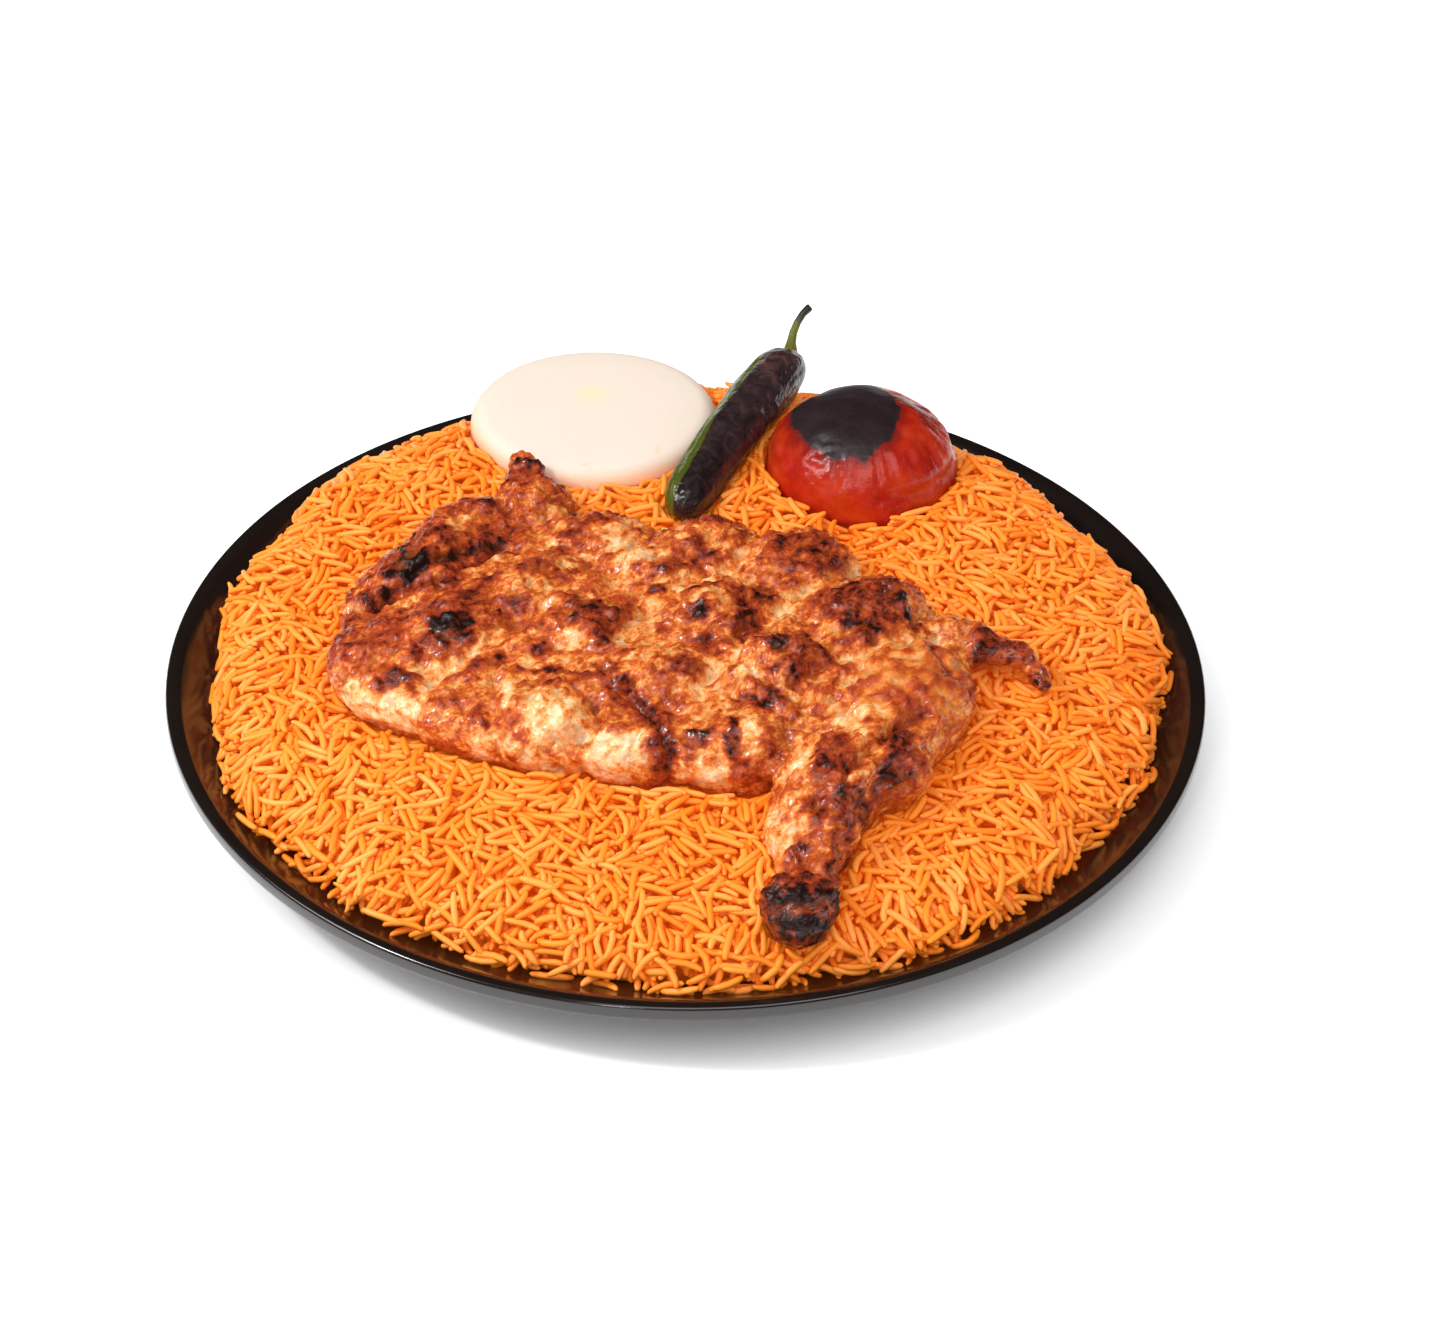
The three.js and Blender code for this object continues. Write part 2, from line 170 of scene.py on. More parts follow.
class Finish:
    """A material whose nodes are added in one line each. fixed holds what is the same all over."""

    def __init__(self, name, **fixed):
        self.material = bpy.data.materials.new(name)
        self.material.use_nodes = True
        self.tree = self.material.node_tree
        self.surface = self.tree.nodes["Principled BSDF"]
        for socket, value in fixed.items():
            self.surface.inputs[socket.replace("_", " ")].default_value = value
        self.place = self.node("ShaderNodeTexCoord", output="Object")
        self.relief = {}

    def node(self, kind, settings=None, inputs=None, output=0):
        """Adds a node, sets it, fills or links its sockets and gives one of its outputs."""
        made = self.tree.nodes.new(kind)
        for setting, value in (settings or {}).items():
            if setting == "stops":
                ramp = made.color_ramp.elements
                while len(ramp) < len(value):
                    ramp.new(0.5)
                for element, (position, *screen) in zip(ramp, value):
                    element.position = position
                    element.color = colour(*screen)
            else:
                setattr(made, setting, value)
        for socket, value in (inputs or {}).items():
            if isinstance(value, Value):
                self.tree.links.new(value.socket, made.inputs[socket])
            else:
                made.inputs[socket].default_value = value
        return Value(self, made.outputs[output])

    def noise(self, size, detail=3.0, roughness=0.5, distortion=0.0, place=None):
        """Cloudy noise from 0 to 1 with lumps of about the given size in metres."""
        texture = {"Scale": 1 / size, "Detail": detail, "Roughness": roughness, "Distortion": distortion}
        return self.node("ShaderNodeTexNoise", {}, {"Vector": place or self.place, **texture})

    def stretched(self, x, y, z, turn=0.0):
        """The place, turned about Z by some degrees and then scaled along each axis."""
        inputs = {"Vector": self.place, "Rotation": (0, 0, math.radians(turn))}
        turned = self.node("ShaderNodeMapping", {"vector_type": "TEXTURE"}, inputs)
        return self.node("ShaderNodeVectorMath", {"operation": "MULTIPLY"}, {0: turned, 1: (x, y, z)})

    def height(self):
        """How high a point lies, in metres."""
        return self.node("ShaderNodeSeparateXYZ", {}, {0: self.place}, "Z")

    def away_from(self, middle):
        """Distance from a place, in metres."""
        sockets = {0: self.place, 1: middle}
        return self.node("ShaderNodeVectorMath", {"operation": "DISTANCE"}, sockets, "Value")

    def attribute(self, name):
        """A number that was stored with the points of the mesh."""
        return self.node("ShaderNodeAttribute", {"attribute_name": name}, output="Fac")

    def ramp(self, value, *stops):
        """The colour that stands at a value, between stops of (position, red, green, blue)."""
        return self.node("ShaderNodeValToRGB", {"stops": stops}, {"Fac": value})

    def mix(self, share, first, second):
        """Two colours mixed: share 0 gives the first and share 1 the second."""
        sockets = {0: share, 6: first, 7: second}
        return self.node("ShaderNodeMix", {"data_type": "RGBA"}, sockets, output=2)

    def feed(self, socket, value):
        """Links a value or colour to a socket of the surface shader."""
        self.tree.links.new(value.socket, self.surface.inputs[socket])

    def bump(self, height, depth):
        """Adds fine relief of the given depth in metres to the relief so far."""
        inputs = {"Height": height, "Distance": depth, "Strength": 1.0, **self.relief}
        self.relief = {"Normal": self.node("ShaderNodeBump", {}, inputs)}
        self.feed("Normal", self.relief["Normal"])


print("finish helpers ready")

# %% [markdown]
# ## Floor
# The table is one large white square. It gives off a little light of its own far from the dish, as a lit
# white backdrop does, and none near it, so the shadow under the plate stays dark.

# %% Floor
GLOW_START = 132 * MM
GLOW_FULL = 190 * MM
TABLE_HALF = 6
TABLE_COLOUR = (0.94, 0.94, 0.94, 1)


def mesh_from(bm, name):
    """The mesh of a bmesh, which is then let go."""
    mesh = bpy.data.meshes.new(name)
    bm.to_mesh(mesh)
    bm.free()
    return mesh


table = Finish("white table", Base_Color=TABLE_COLOUR, Roughness=0.7, Emission_Strength=0.5)
from_dish = table.away_from((0, 0, 0))
table.feed("Emission Color", table.mix(from_dish.between(GLOW_START, GLOW_FULL), BLACK, WHITE))
floor_bm = bmesh.new()
bmesh.ops.create_grid(floor_bm, x_segments=1, y_segments=1, size=TABLE_HALF)
floor = linked("floor", mesh_from(floor_bm, "floor"))
floor.data.materials.append(table.material)
print("white floor", floor.name)

# %% [markdown]
# ## From a bmesh to a finished piece
# Every piece goes the same last steps: its mesh becomes an object at the origin, its faces are shaded smooth,
# it takes its finish, rides with the dish and stands in for the plain solid of the same name.


# %% Piece helper
def finished_piece(name, mesh, finish, node):
    """Links a mesh as a piece of the dish. node is the plain solid that it replaces."""
    mesh.polygons.foreach_set("use_smooth", [True] * len(mesh.polygons))
    mesh.materials.clear()
    mesh.materials.append(finish.material)
    piece = linked(name, mesh)
    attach(piece, "root")
    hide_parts(node)
    triangles = sum(len(polygon.vertices) - 2 for polygon in mesh.polygons)
    print(name, "has", triangles, "triangles")
    return piece


def turned_shell(profile, steps):
    """A closed skin of revolution about Z from a profile of (radius, height) in millimetres."""
    bm = bmesh.new()
    points = [bm.verts.new((r * MM, 0, z * MM)) for r, z in profile]
    edges = [bm.edges.new(pair) for pair in zip(points, points[1:])]
    way_round = {"cent": (0, 0, 0), "axis": (0, 0, 1), "angle": 2 * math.pi}
    bmesh.ops.spin(bm, geom=points + edges, steps=steps, use_merge=True, **way_round)
    bmesh.ops.remove_doubles(bm, verts=bm.verts, dist=1e-6)
    bmesh.ops.recalc_face_normals(bm, faces=bm.faces)
    return bm


# %% [markdown]
# ## Plate
# The plate is a black glazed coupe platter: a flat floor, a bowl that grows steeper towards the edge, a
# narrow flat lip and a foot ring. It is a turned thing, so its profile is spun round the middle. The two
# edges of the lip are then bevelled, because a thrown and glazed edge is never sharp, and the light draws a
# thin line along it.

# %% Plate shape
PLATE_RADIUS = 155
PLATE_HEIGHT = 24
PLATE_FLOOR = 5.5
FLOOR_RADIUS = 104
RIM_WIDTH = 4.8
RIM_THICKNESS = 4.8
RIM_ROUNDING = 1.2
RIM_INSIDE = PLATE_RADIUS - RIM_WIDTH
WALL = 3.2
BOWL_RINGS = 15
SHARP_ANGLE = math.radians(30)


def plate_inside(r):
    """Height of the plate's upper face at a radius, in millimetres."""
    share = max(0.0, (r - FLOOR_RADIUS) / (RIM_INSIDE - FLOOR_RADIUS))
    return PLATE_FLOOR + (PLATE_HEIGHT - RIM_ROUNDING - PLATE_FLOOR) * share**2


bowl = [FLOOR_RADIUS + (RIM_INSIDE - FLOOR_RADIUS) * ring / (BOWL_RINGS - 1) for ring in range(BOWL_RINGS)]
foot = [(0, 1.6), (88, 1.6), (90, 1.1), (92, 0), (97, 0), (98.5, 0.9)]
under = [(r + WALL / 2, plate_inside(r) - WALL) for r in bowl[3:11]]
lip = [
    (PLATE_RADIUS, PLATE_HEIGHT - RIM_THICKNESS),
    (PLATE_RADIUS, PLATE_HEIGHT),
    (RIM_INSIDE + 1, PLATE_HEIGHT - 0.3),
]
inside = [(r, plate_inside(r)) for r in reversed(bowl[:-1])]
plate_bm = turned_shell(foot + under + lip + inside + [(0, PLATE_FLOOR)], 168)
sharp = [
    edge
    for edge in plate_bm.edges
    if len(edge.link_faces) == 2
    and edge.calc_face_angle() > SHARP_ANGLE
    and edge.verts[0].co.xy.length > (PLATE_RADIUS - 9) * MM
    and abs(edge.verts[0].co.z - edge.verts[1].co.z) < 1e-6
]
rounding = {"offset": RIM_ROUNDING * MM, "segments": 4, "profile": 0.5}
bmesh.ops.bevel(plate_bm, geom=sharp, affect="EDGES", material=-1, **rounding)
print("bevelled edges", len(sharp))

# %% [markdown]
# ## Plate glaze
# Black glaze is almost a mirror, so nearly all of its look comes from what it reflects: the bright room along
# the lip and the orange rice on the inner slope. A slow waviness in the bump keeps the reflections from
# looking like cut glass, and a faint change of roughness stands for the film that wiping leaves.

# %% Plate finish
glaze = Finish("black glaze", Specular_IOR_Level=0.7)
cloud = glaze.noise(0.03, detail=2)
glaze.feed("Base Color", glaze.mix(cloud, colour(18, 13, 12), colour(32, 24, 20)))
glaze.feed("Roughness", 0.13 + 0.09 * glaze.noise(0.012, detail=4))
glaze.bump(glaze.noise(0.02, detail=2), 0.00012)
finished_piece("black_plate", mesh_from(plate_bm, "black_plate"), glaze, "plate")

# %% [markdown]
# ## Chicken
# Half a chicken was opened flat, scored on the slant and grilled. The plain model already has its mounds and
# cuts, but with flat facets. Sculpting it by hand would not repeat, so a copy is remeshed into small even
# squares and smoothed. That gives a skin fine enough to carry creases, fibres and blisters.


# %% Remesh the chicken
def remeshed(source, name, voxel, rounds):
    """A copy of a mesh in even squares, smoothed some rounds."""
    bm = bmesh.new()
    bm.from_mesh(source)
    bmesh.ops.remove_doubles(bm, verts=bm.verts, dist=1e-6)
    helper = linked(name, mesh_from(bm, name))
    squares = helper.modifiers.new("even squares", "REMESH")
    squares.mode = "VOXEL"
    squares.voxel_size = voxel
    soften = helper.modifiers.new("soften", "SMOOTH")
    soften.iterations = rounds
    soften.factor = 0.5
    graph = bpy.context.evaluated_depsgraph_get()
    mesh = bpy.data.meshes.new_from_object(helper.evaluated_get(graph))
    bpy.data.objects.remove(helper)
    return mesh


MEAT_SQUARE = 0.86 * MM
MEAT_SMOOTHING = 5
meat_mesh = remeshed(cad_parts["chicken"].data, "chicken_meat", MEAT_SQUARE, MEAT_SMOOTHING)
print("remeshed chicken has", len(meat_mesh.vertices), "points")

# %% [markdown]
# ## Working on many points at once
# The skin has tens of thousands of points. Their places are read into arrays in millimetres, so that a crease
# or a burnt spot is one line of sums for all of them. Noise bends the places first, and a spot drawn on bent
# places gets the ragged edge of a real burn.


# %% Fields over points
def places_of(mesh):
    """The points of a mesh and their outward directions, in millimetres."""
    count = len(mesh.vertices)
    places, ways = np.empty(count * 3), np.empty(count * 3)
    mesh.vertices.foreach_get("co", places)
    mesh.vertex_normals.foreach_get("vector", ways)
    return places.reshape(-1, 3) / MM, ways.reshape(-1, 3)


def lumps(places, size, seed=0.0):
    """Noise from about -1 to 1 at each place, with lumps of a size in millimetres."""
    return np.array([noise.noise(place) for place in (places / size + seed)])


def bent(places, amount, size, seed):
    """The places, shifted about by noise."""
    shift = [lumps(places, size, seed + k) for k in (1.3, 5.7, 9.1)]
    return places + amount * np.stack(shift, axis=1)


def eased(value, low, high):
    """0 at low and below, 1 at high and above, smooth in between."""
    share = np.clip((value - low) / (high - low), 0, 1)
    return share * share * (3 - 2 * share)


def hump(value, middle, width):
    """1 at the middle, falling smoothly to 0 on both sides."""
    return np.exp(-(((value - middle) / width) ** 2))


def spot(places, x, y, half_length, half_width, turn):
    """1 inside an oval seen from above, falling to 0 round it."""
    c, s = math.cos(math.radians(turn)), math.sin(math.radians(turn))
    dx, dy = places[:, 0] - x, places[:, 1] - y
    reach = np.hypot((dx * c + dy * s) / half_length, (dy * c - dx * s) / half_width)
    return 1 - eased(reach, 0.55, 1.3)


def strongest(places, ovals):
    """The most that any of the ovals adds at each place."""
    return np.maximum.reduce([amount * spot(places, *oval) for *oval, amount in ovals])


def from_route(places, route):
    """Distance in plan from a route of straight stretches."""
    nearest = np.full(len(places), 1e9)
    for (ax, ay), (bx, by) in zip(route, route[1:]):
        run_x, run_y = bx - ax, by - ay
        dx, dy = places[:, 0] - ax, places[:, 1] - ay
        share = np.clip((dx * run_x + dy * run_y) / (run_x**2 + run_y**2), 0, 1)
        nearest = np.minimum(nearest, np.hypot(dx - share * run_x, dy - share * run_y))
    return nearest


def move_points(mesh, places, ways, push):
    """Moves the points of a mesh outwards by an amount for each, in millimetres."""
    mesh.vertices.foreach_set("co", ((places + ways * push[:, None]) * MM).ravel())
    mesh.update()
    print(mesh.name, "is pushed from", push.min().round(2), "to", push.max().round(2), "mm")


def store(mesh, name, values):
    """Keeps one number for each point, for the finish to read."""
    mesh.attributes.new(name, "FLOAT", "POINT").data.foreach_set("value", values)


# %% [markdown]
# ## Relief of the meat
# Cooked meat shrinks, so its surface gathers into rounded lumps with sharp valleys between them. Noise of
# several sizes makes the lumps and the crust, and noise drawn out on the slant makes the torn muscle fibres.
# The deep folds where the wing, the breast, the thigh and the leg meet are cut along named routes. The wing's
# flap lies over the breast, so there the skin steps down along a line. The knife's scores are wide shallow
# grooves with raised sides. Each fold below has a route and a depth in millimetres.

# %% Folds between the pieces of meat
FOLDS = {
    "flap over the wing": (
        [(-98, -14), (-91, -11), (-84, -9), (-75, -5), (-68, 0), (-62, 7), (-56, 15)],
        3.4,
    ),
    "wing root": ([(-58, 36), (-55, 33), (-46, 35), (-38, 39)], 1.6),
    "wing side": ([(-56, 40), (-54, 27), (-51, 12)], 1.3),
    "breast lobe": ([(-32, -56), (-25, -62), (-22, -70), (-28, -76), (-38, -78)], 2.2),
    "breast edge": ([(-53, -52), (-53, -69), (-50, -75)], 1.3),
    "breast to thigh": ([(-16, -56), (-11, -64), (-5, -75), (-3, -84)], 2.2),
    "under the thigh": ([(6, -80), (11, -84), (22, -84), (27, -81), (30, -70)], 1.8),
    "round the knee": ([(37, -52), (33, -62), (39, -64)], 1.3),
    "leg to thigh": ([(45, -98), (49, -89), (54, -81), (58, -75), (67, -67)], 2.4),
    "tail root": ([(70, -36), (72, -42), (75, -49), (81, -51)], 1.9),
}
SCORES = [
    [(5, -56), (21, -26), (43, 1), (53, 10)],
    [(33, -56), (39, -45), (53, -37), (71, -28), (79, -25)],
    [(-19, -34), (-3, -6), (14, 3), (21, 13)],
    [(-75, -60), (-68, -48), (-57, -37), (-42, -20)],
]
meat_places, meat_ways = places_of(meat_mesh)
wavy = bent(meat_places, 1.6, 6, 20)
push, crease_juice_and_shade = np.zeros(len(meat_places)), np.zeros(len(meat_places))
# Each fold also keeps a darkening for the colour: partly burnt juice gathered in it, partly painted shade.
for route, depth in FOLDS.values():
    gap = from_route(wavy, route)
    push -= depth * hump(gap, 0, 1.5)
    push += 0.3 * depth * hump(gap, 3.6, 1.7)
    crease_juice_and_shade = np.maximum(crease_juice_and_shade, depth / 3 * hump(gap, 0, 1.4))

# %% Step under the wing's flap
FLAP_FROM, FLAP_TO = (-98, -14), (-53, 22)
flap_x, flap_y = FLAP_TO[0] - FLAP_FROM[0], FLAP_TO[1] - FLAP_FROM[1]
flap_length = math.hypot(flap_x, flap_y)
from_x, from_y = wavy[:, 0] - FLAP_FROM[0], wavy[:, 1] - FLAP_FROM[1]
below_flap = (from_x * flap_y - from_y * flap_x) / flap_length
along_flap = (from_x * flap_x + from_y * flap_y) / flap_length
near_flap = eased(along_flap, -3, 6) * (1 - eased(along_flap, flap_length - 8, flap_length + 2))
push -= 2.8 * near_flap * eased(below_flap, -0.6, 1.8) * (1 - eased(below_flap, 3, 14))
# The line below the flap is darkened as well: a painted shadow of the flap over the breast.
crease_juice_and_shade = np.maximum(crease_juice_and_shade, 1.5 * near_flap * hump(below_flap, 1.3, 1.2))
print("deepest fold", push.min().round(2), "mm")

# %% Scores, lumps and fibres
for route in SCORES:
    gap = from_route(wavy, route)
    push += 0.7 * hump(gap, 5.5, 2.5) - 1.7 * hump(gap, 0, 2.3)
curled = bent(meat_places, 2.2, 8, 3)
along_slant, across_slant = curled[:, 0] + curled[:, 1], curled[:, 1] - curled[:, 0]
drawn = np.stack([along_slant, 2.6 * across_slant, 2.6 * curled[:, 2]], axis=1)
torn = 0.75 - np.abs(lumps(drawn, 11, 35))
knots = lumps(bent(meat_places, 1.5, 5, 8), 4.4, 30)
crust = lumps(meat_places, 2.1, 70)
push += 1.1 * lumps(curled, 9) + 1.0 * knots + 1.7 * (torn - 0.5) + 0.75 * crust
push += 0.6 * lumps(drawn, 4.6, 36)
push += 2.2 * lumps(meat_places, 3.8, 77) * spot(meat_places, -44, 50, 15, 13, 0)
push *= 1 - 0.6 * spot(meat_places, 94, -32, 12, 9, -30)
SWELLINGS = [(-38, -68, 10, 8, 0, 1.4), (103, -40, 6, 6, 0, -1.8)]
SLIMMER = [
    (56, -103, 8, 14, -25, 4), (96, -31, 9, 5, -40, 1.2), (47, -119, 5, 9, 0, 2.6), (25, -118, 4, 9, 0, 1.2),
]
for *oval, amount in SWELLINGS:
    push += amount * spot(meat_places, *oval)
top_side = eased(meat_ways[:, 2], -0.3, 0.3)
push *= 0.35 + 0.65 * top_side
for *oval, amount in SLIMMER:
    push -= amount * spot(meat_places, *oval)
move_points(meat_mesh, meat_places, meat_ways, push)

# %% [markdown]
# ## How well done it is
# One number says how far each point is cooked: pale wet flesh, golden, orange-brown, red-brown and at last
# black. The grill touches the high mounds, so they are burnt, and the cuts between them stay pale. The folds
# and the line under the wing's flap are pushed darker, partly by burnt juice and partly as painted shade.
# Each spot below is an oval with a place, two half widths, a turn and the amount that it adds. A pale spot
# takes some away.

# %% Burnt and pale spots
BURNT = [
    (-72, 14, 24, 12, 28, 0.3), (-92, -33, 14, 16, 0, 0.22), (-44, 50, 6, 5, 0, 0.3),
    (-40, 40, 8, 4, 0, 0.22), (-52, 53, 8, 6, 20, 0.38), (-51, 46, 7, 5, 0, 0.2), (-41, 59, 5, 4, 0, 0.26),
    (-66, 30, 12, 4.5, 10, 0.32), (-82, 20, 6, 4, 20, 0.24), (-83, 1, 7, 5.5, 30, 0.64),
    (-79, 2, 14, 8, 25, 0.26), (-70, 7, 6.5, 6.5, 50, 0.4), (-71, -7, 7, 5, 40, 0.38),
    (-91, -9, 6, 3, 20, 0.4), (-99, 2, 4, 3, 0, 0.24), (-82, -27, 5.5, 4.5, 0, 0.36),
    (-67, -33, 7, 6.5, 0, 0.6), (-66, -28, 12, 11, 0, 0.24), (-62, -17, 10, 6.5, 10, 0.38),
    (-70, -40, 9, 5, 20, 0.25), (-79, -52, 6, 4, 10, 0.34), (-57, -44, 8, 4.5, 30, 0.27),
    (-48, -26, 6, 8, 0, 0.3), (-41, -39, 3.4, 3.4, 0, 0.4), (-59, -6, 5, 4, 40, 0.28),
    (-55, 13, 9, 3.5, 30, 0.28), (-54, 24, 5, 3.5, 0, 0.26), (-30, 23, 8, 5.5, 0, 0.38),
    (-21, 29, 5, 3, 0, 0.3), (-26, -24, 10, 10, 0, 0.36), (-31, -28, 3.4, 3, 0, 0.44),
    (-24, -35, 4, 5, 0, 0.42), (-42, -5, 8, 2.6, 0, 0.3), (-37, 13, 5, 4.5, 45, 0.28),
    (-36, -49.5, 10, 2, -8, 0.46), (-39, -57, 5, 3, 0, 0.36), (-22, -48, 4.5, 4.5, 0, 0.4),
    (-19, -55, 4, 3.5, 0, 0.3), (-14, -61, 7, 4, -40, 0.3), (-8, -68, 4.5, 7, 0, 0.32),
    (-5, -79, 4.5, 6, 0, 0.38), (-9, -12, 2, 1.6, 0, 0.5), (-3, 2, 10, 5, 30, 0.38),
    (-5, -1, 4.5, 2.5, 0, 0.48), (4, 9, 4.5, 3, 0, 0.38), (6, 21, 9, 3, -5, 0.34),
    (4, -27, 4.2, 3.2, 0, 0.54), (9, -14, 10, 3, 0, 0.26), (16, -18, 5, 4, -60, 0.34),
    (18, -27, 5, 7, 0, 0.5), (7, -38, 6, 4, 10, 0.3), (0, -49, 7, 4, 20, 0.32), (-5, -32, 3, 2.4, 0, 0.3),
    (35, 8, 14, 11, -20, 0.34), (36, 14, 8, 4, -10, 0.4), (23, -12, 3.4, 7, -20, 0.36),
    (25, -45, 2.4, 2.4, 0, 0.5), (25, -50, 4, 3.5, 0, 0.48), (52, -20, 16, 12, -30, 0.33),
    (46, -30, 3.2, 2.8, 0, 0.54), (52, -31, 5, 3, 30, 0.56), (61, -19, 4, 3.6, 0, 0.54),
    (57, -10, 7, 5, -30, 0.38), (34, -44, 10, 8.5, 0, 0.34), (50, -37, 8, 2.4, 10, 0.3),
    (31, -54, 2.8, 2.8, 0, 0.56), (20, -63, 6, 3, 0, 0.34), (26, -60, 3.5, 4, 40, 0.42),
    (6, -76, 6, 3.2, 40, 0.4), (13.5, -78, 1.6, 6, 0, 0.56), (40, -92, 5.5, 11, -15, 0.38),
    (36, -107, 3.5, 5, 0, 0.5), (59, -82, 4, 8, -10, 0.4), (64, -83, 3, 3, 0, 0.34),
    (50, -102, 6, 6, 0, 0.54), (58, -91, 8, 6, -40, 0.4), (62, -63, 10, 6, -10, 0.17),
    (92, -28, 14, 4.5, -15, 0.38), (102, -36, 4, 4, 0, 0.55), (80, -26, 6, 2.4, -10, 0.26),
    (45, -110, 5, 16, 8, 0.4), (33, -118, 2.4, 2.2, 0, 0.5), (30, -124, 5, 4, 0, 0.25),
    (33, -136, 15, 14, 0, 0.56), (105, -41, 5, 5, 0, 0.5), (37, -134, 7, 7, 0, 0.54),
    (43, -123, 3.5, 14, 0, 0.42),
]
PALE = [
    (-85, -58, 12, 5, -8, 0.3), (-92, -52, 6, 4, 0, 0.22), (-50, -58, 2.4, 8, 0, 0.34),
    (-35, -72, 10, 9, 0, 0.26), (-21, -79, 10, 4, 0, 0.34), (-54, -73, 6, 4, 0, 0.24),
    (-34, -37, 5, 5, 0, 0.2), (-58, 9, 4, 3, 0, 0.22), (-53, -12, 5, 6, 0, 0.14), (-21, 15, 10, 5, -20, 0.2),
    (-16, 4, 5, 4, 0, 0.22), (-67, 24, 8, 3, 15, 0.22), (21, -51, 7, 2.4, 20, 0.26),
    (19, -76, 4.5, 5, 0, 0.22), (5, -83, 9, 4, 0, 0.26), (48, -67, 8, 4, 0, 0.28), (33, -87, 4, 8, -10, 0.22),
    (48, -98, 3, 3, 0, 0.4), (26, -108, 3.6, 12, 10, 0.14), (53, -37, 10, 3, 20, 0.16),
]

# %% How far each point is cooked
ragged = bent(bent(meat_places, 2.6, 7, 40), 1.3, 2.6, 60)
done = 0.42 + 0.12 * lumps(meat_places, 11, 90) + 0.12 * lumps(meat_places, 4.2, 110)
done += 0.82 * strongest(ragged, BURNT)
done -= strongest(ragged, PALE)
for route in SCORES:
    done -= 0.12 * hump(from_route(ragged, route), 0, 3.5)
# Folds and the flap's line darken the meat: partly burnt juice, partly painted shade.
done += 0.16 * knots + 0.16 * crust + 0.02 * push + 0.22 * crease_juice_and_shade
underneath = eased(-meat_ways[:, 2], 0.1, 0.8) * eased(meat_places[:, 1], -112, -104)
done = done * (1 - underneath) + 0.4 * underneath
store(meat_mesh, "done", done)
store(meat_mesh, "calm", spot(ragged, 64, -52, 17, 22, -20))
store(meat_mesh, "valley", eased(-knots - 0.6 * crust, 0.1, 0.6))
print("doneness from", done.min().round(2), "to", done.max().round(2))

# %% [markdown]
# ## Meat finish
# The stored number picks the colour from a ramp. Noise of two sizes and fibre streaks are added to it first,
# because a burn breaks up into specks at its edge. Juice and fat make the skin wet. A clear coat is that
# film: it is missing in the dry patches and on soot, and it draws a spark on each lump of the real relief.
# The bump stays weak, because a strong one scatters the gloss and turns the meat grey. A little light enters
# the flesh, so its shaded sides stay warm.

# %% Meat finish
wet_flesh = {"Coat_Roughness": 0.1, "Subsurface_Weight": 0.28, "Subsurface_Scale": 4 * MM}
meat = Finish("grilled meat", Specular_IOR_Level=0.22, **wet_flesh)
doneness = meat.attribute("done")
specks = meat.noise(0.0042, detail=6, roughness=0.7, distortion=0.6)
dots = meat.noise(0.0014, detail=4, roughness=0.65)
streaks = meat.noise(1, detail=4, roughness=0.6, place=meat.stretched(110, 420, 300, 40))
uneven = 1.05 * (specks - 0.5) + 0.6 * (dots - 0.5) + 0.5 * (streaks - 0.5)
shown = doneness + uneven * (1 - 0.65 * meat.attribute("calm"))
cooked = meat.ramp(
    shown,
    (0.04, 244, 208, 162),
    (0.2, 238, 176, 112),
    (0.34, 222, 130, 56),
    (0.46, 190, 86, 30),
    (0.58, 164, 64, 28),
    (0.74, 124, 40, 20),
    (0.88, 66, 22, 12),
    (0.98, 30, 13, 10),
)
# The low spots of the relief, stored as valley, are mixed towards a darker orange-brown.
valley_brown = meat.attribute("valley") * 0.4
meat.feed("Base Color", meat.mix(valley_brown, cooked, colour(150, 72, 22)))
dry = meat.noise(0.004, detail=5, roughness=0.65).between(0.38, 0.66) * doneness.between(0.02, 0.4)
sooty = doneness.between(0.7, 1.0)
meat.feed("Roughness", 0.2 + 0.35 * dry * (1 - sooty) + 0.14 * sooty)
meat.feed("Coat Weight", (1 - dry) * (1 - sooty) * 0.75)
meat.bump(meat.noise(0.003, detail=2, roughness=0.4) + 0.4 * streaks, 0.0011)
meat.bump(meat.noise(0.0012, detail=1), 0.0002)
chicken = finished_piece("grilled_chicken", meat_mesh, meat, "chicken")

# %% [markdown]
# ## Onion
# Half an onion lies with its cut face up. The bowl below it is turned, and the face is nearly flat with rings
# that show only faintly. Raw onion lets light in, so it gets a little subsurface light and a moist, soft
# gloss.

# %% Onion shape
ONION_PLACE = Vector((-32, 99.5, 0)) * MM
ONION_RADIUS = 40
ONION_FACE = 49
ONION_DEPTH = 24
bulb = [
    (ONION_RADIUS * math.cos(a) ** 0.8, ONION_FACE - ONION_DEPTH * math.sin(a))
    for a in map(math.radians, range(84, 19, -4))
]
shoulder_drops = [(0, 6.5), (0.3, 4.6), (0.9, 3.1), (1.8, 1.8), (3.1, 0.8), (4.6, 0.2)]
rounded = [(ONION_RADIUS - inward, ONION_FACE - drop) for inward, drop in shoulder_drops]
cut_face = [(r, ONION_FACE) for r in (34, 26, 18, 10, 4)]
onion_bm = turned_shell([(0, ONION_FACE - ONION_DEPTH)] + bulb + rounded + cut_face + [(0, ONION_FACE)], 120)
for vertex in onion_bm.verts:
    angle = math.atan2(vertex.co.y, vertex.co.x)
    wobble = 1 + 0.008 * math.sin(3 * angle) + 0.006 * math.sin(2 * angle + 1) - 0.006
    vertex.co.x *= wobble
    vertex.co.y *= wobble
bmesh.ops.translate(onion_bm, verts=onion_bm.verts, vec=ONION_PLACE)
print("onion points", len(onion_bm.verts))
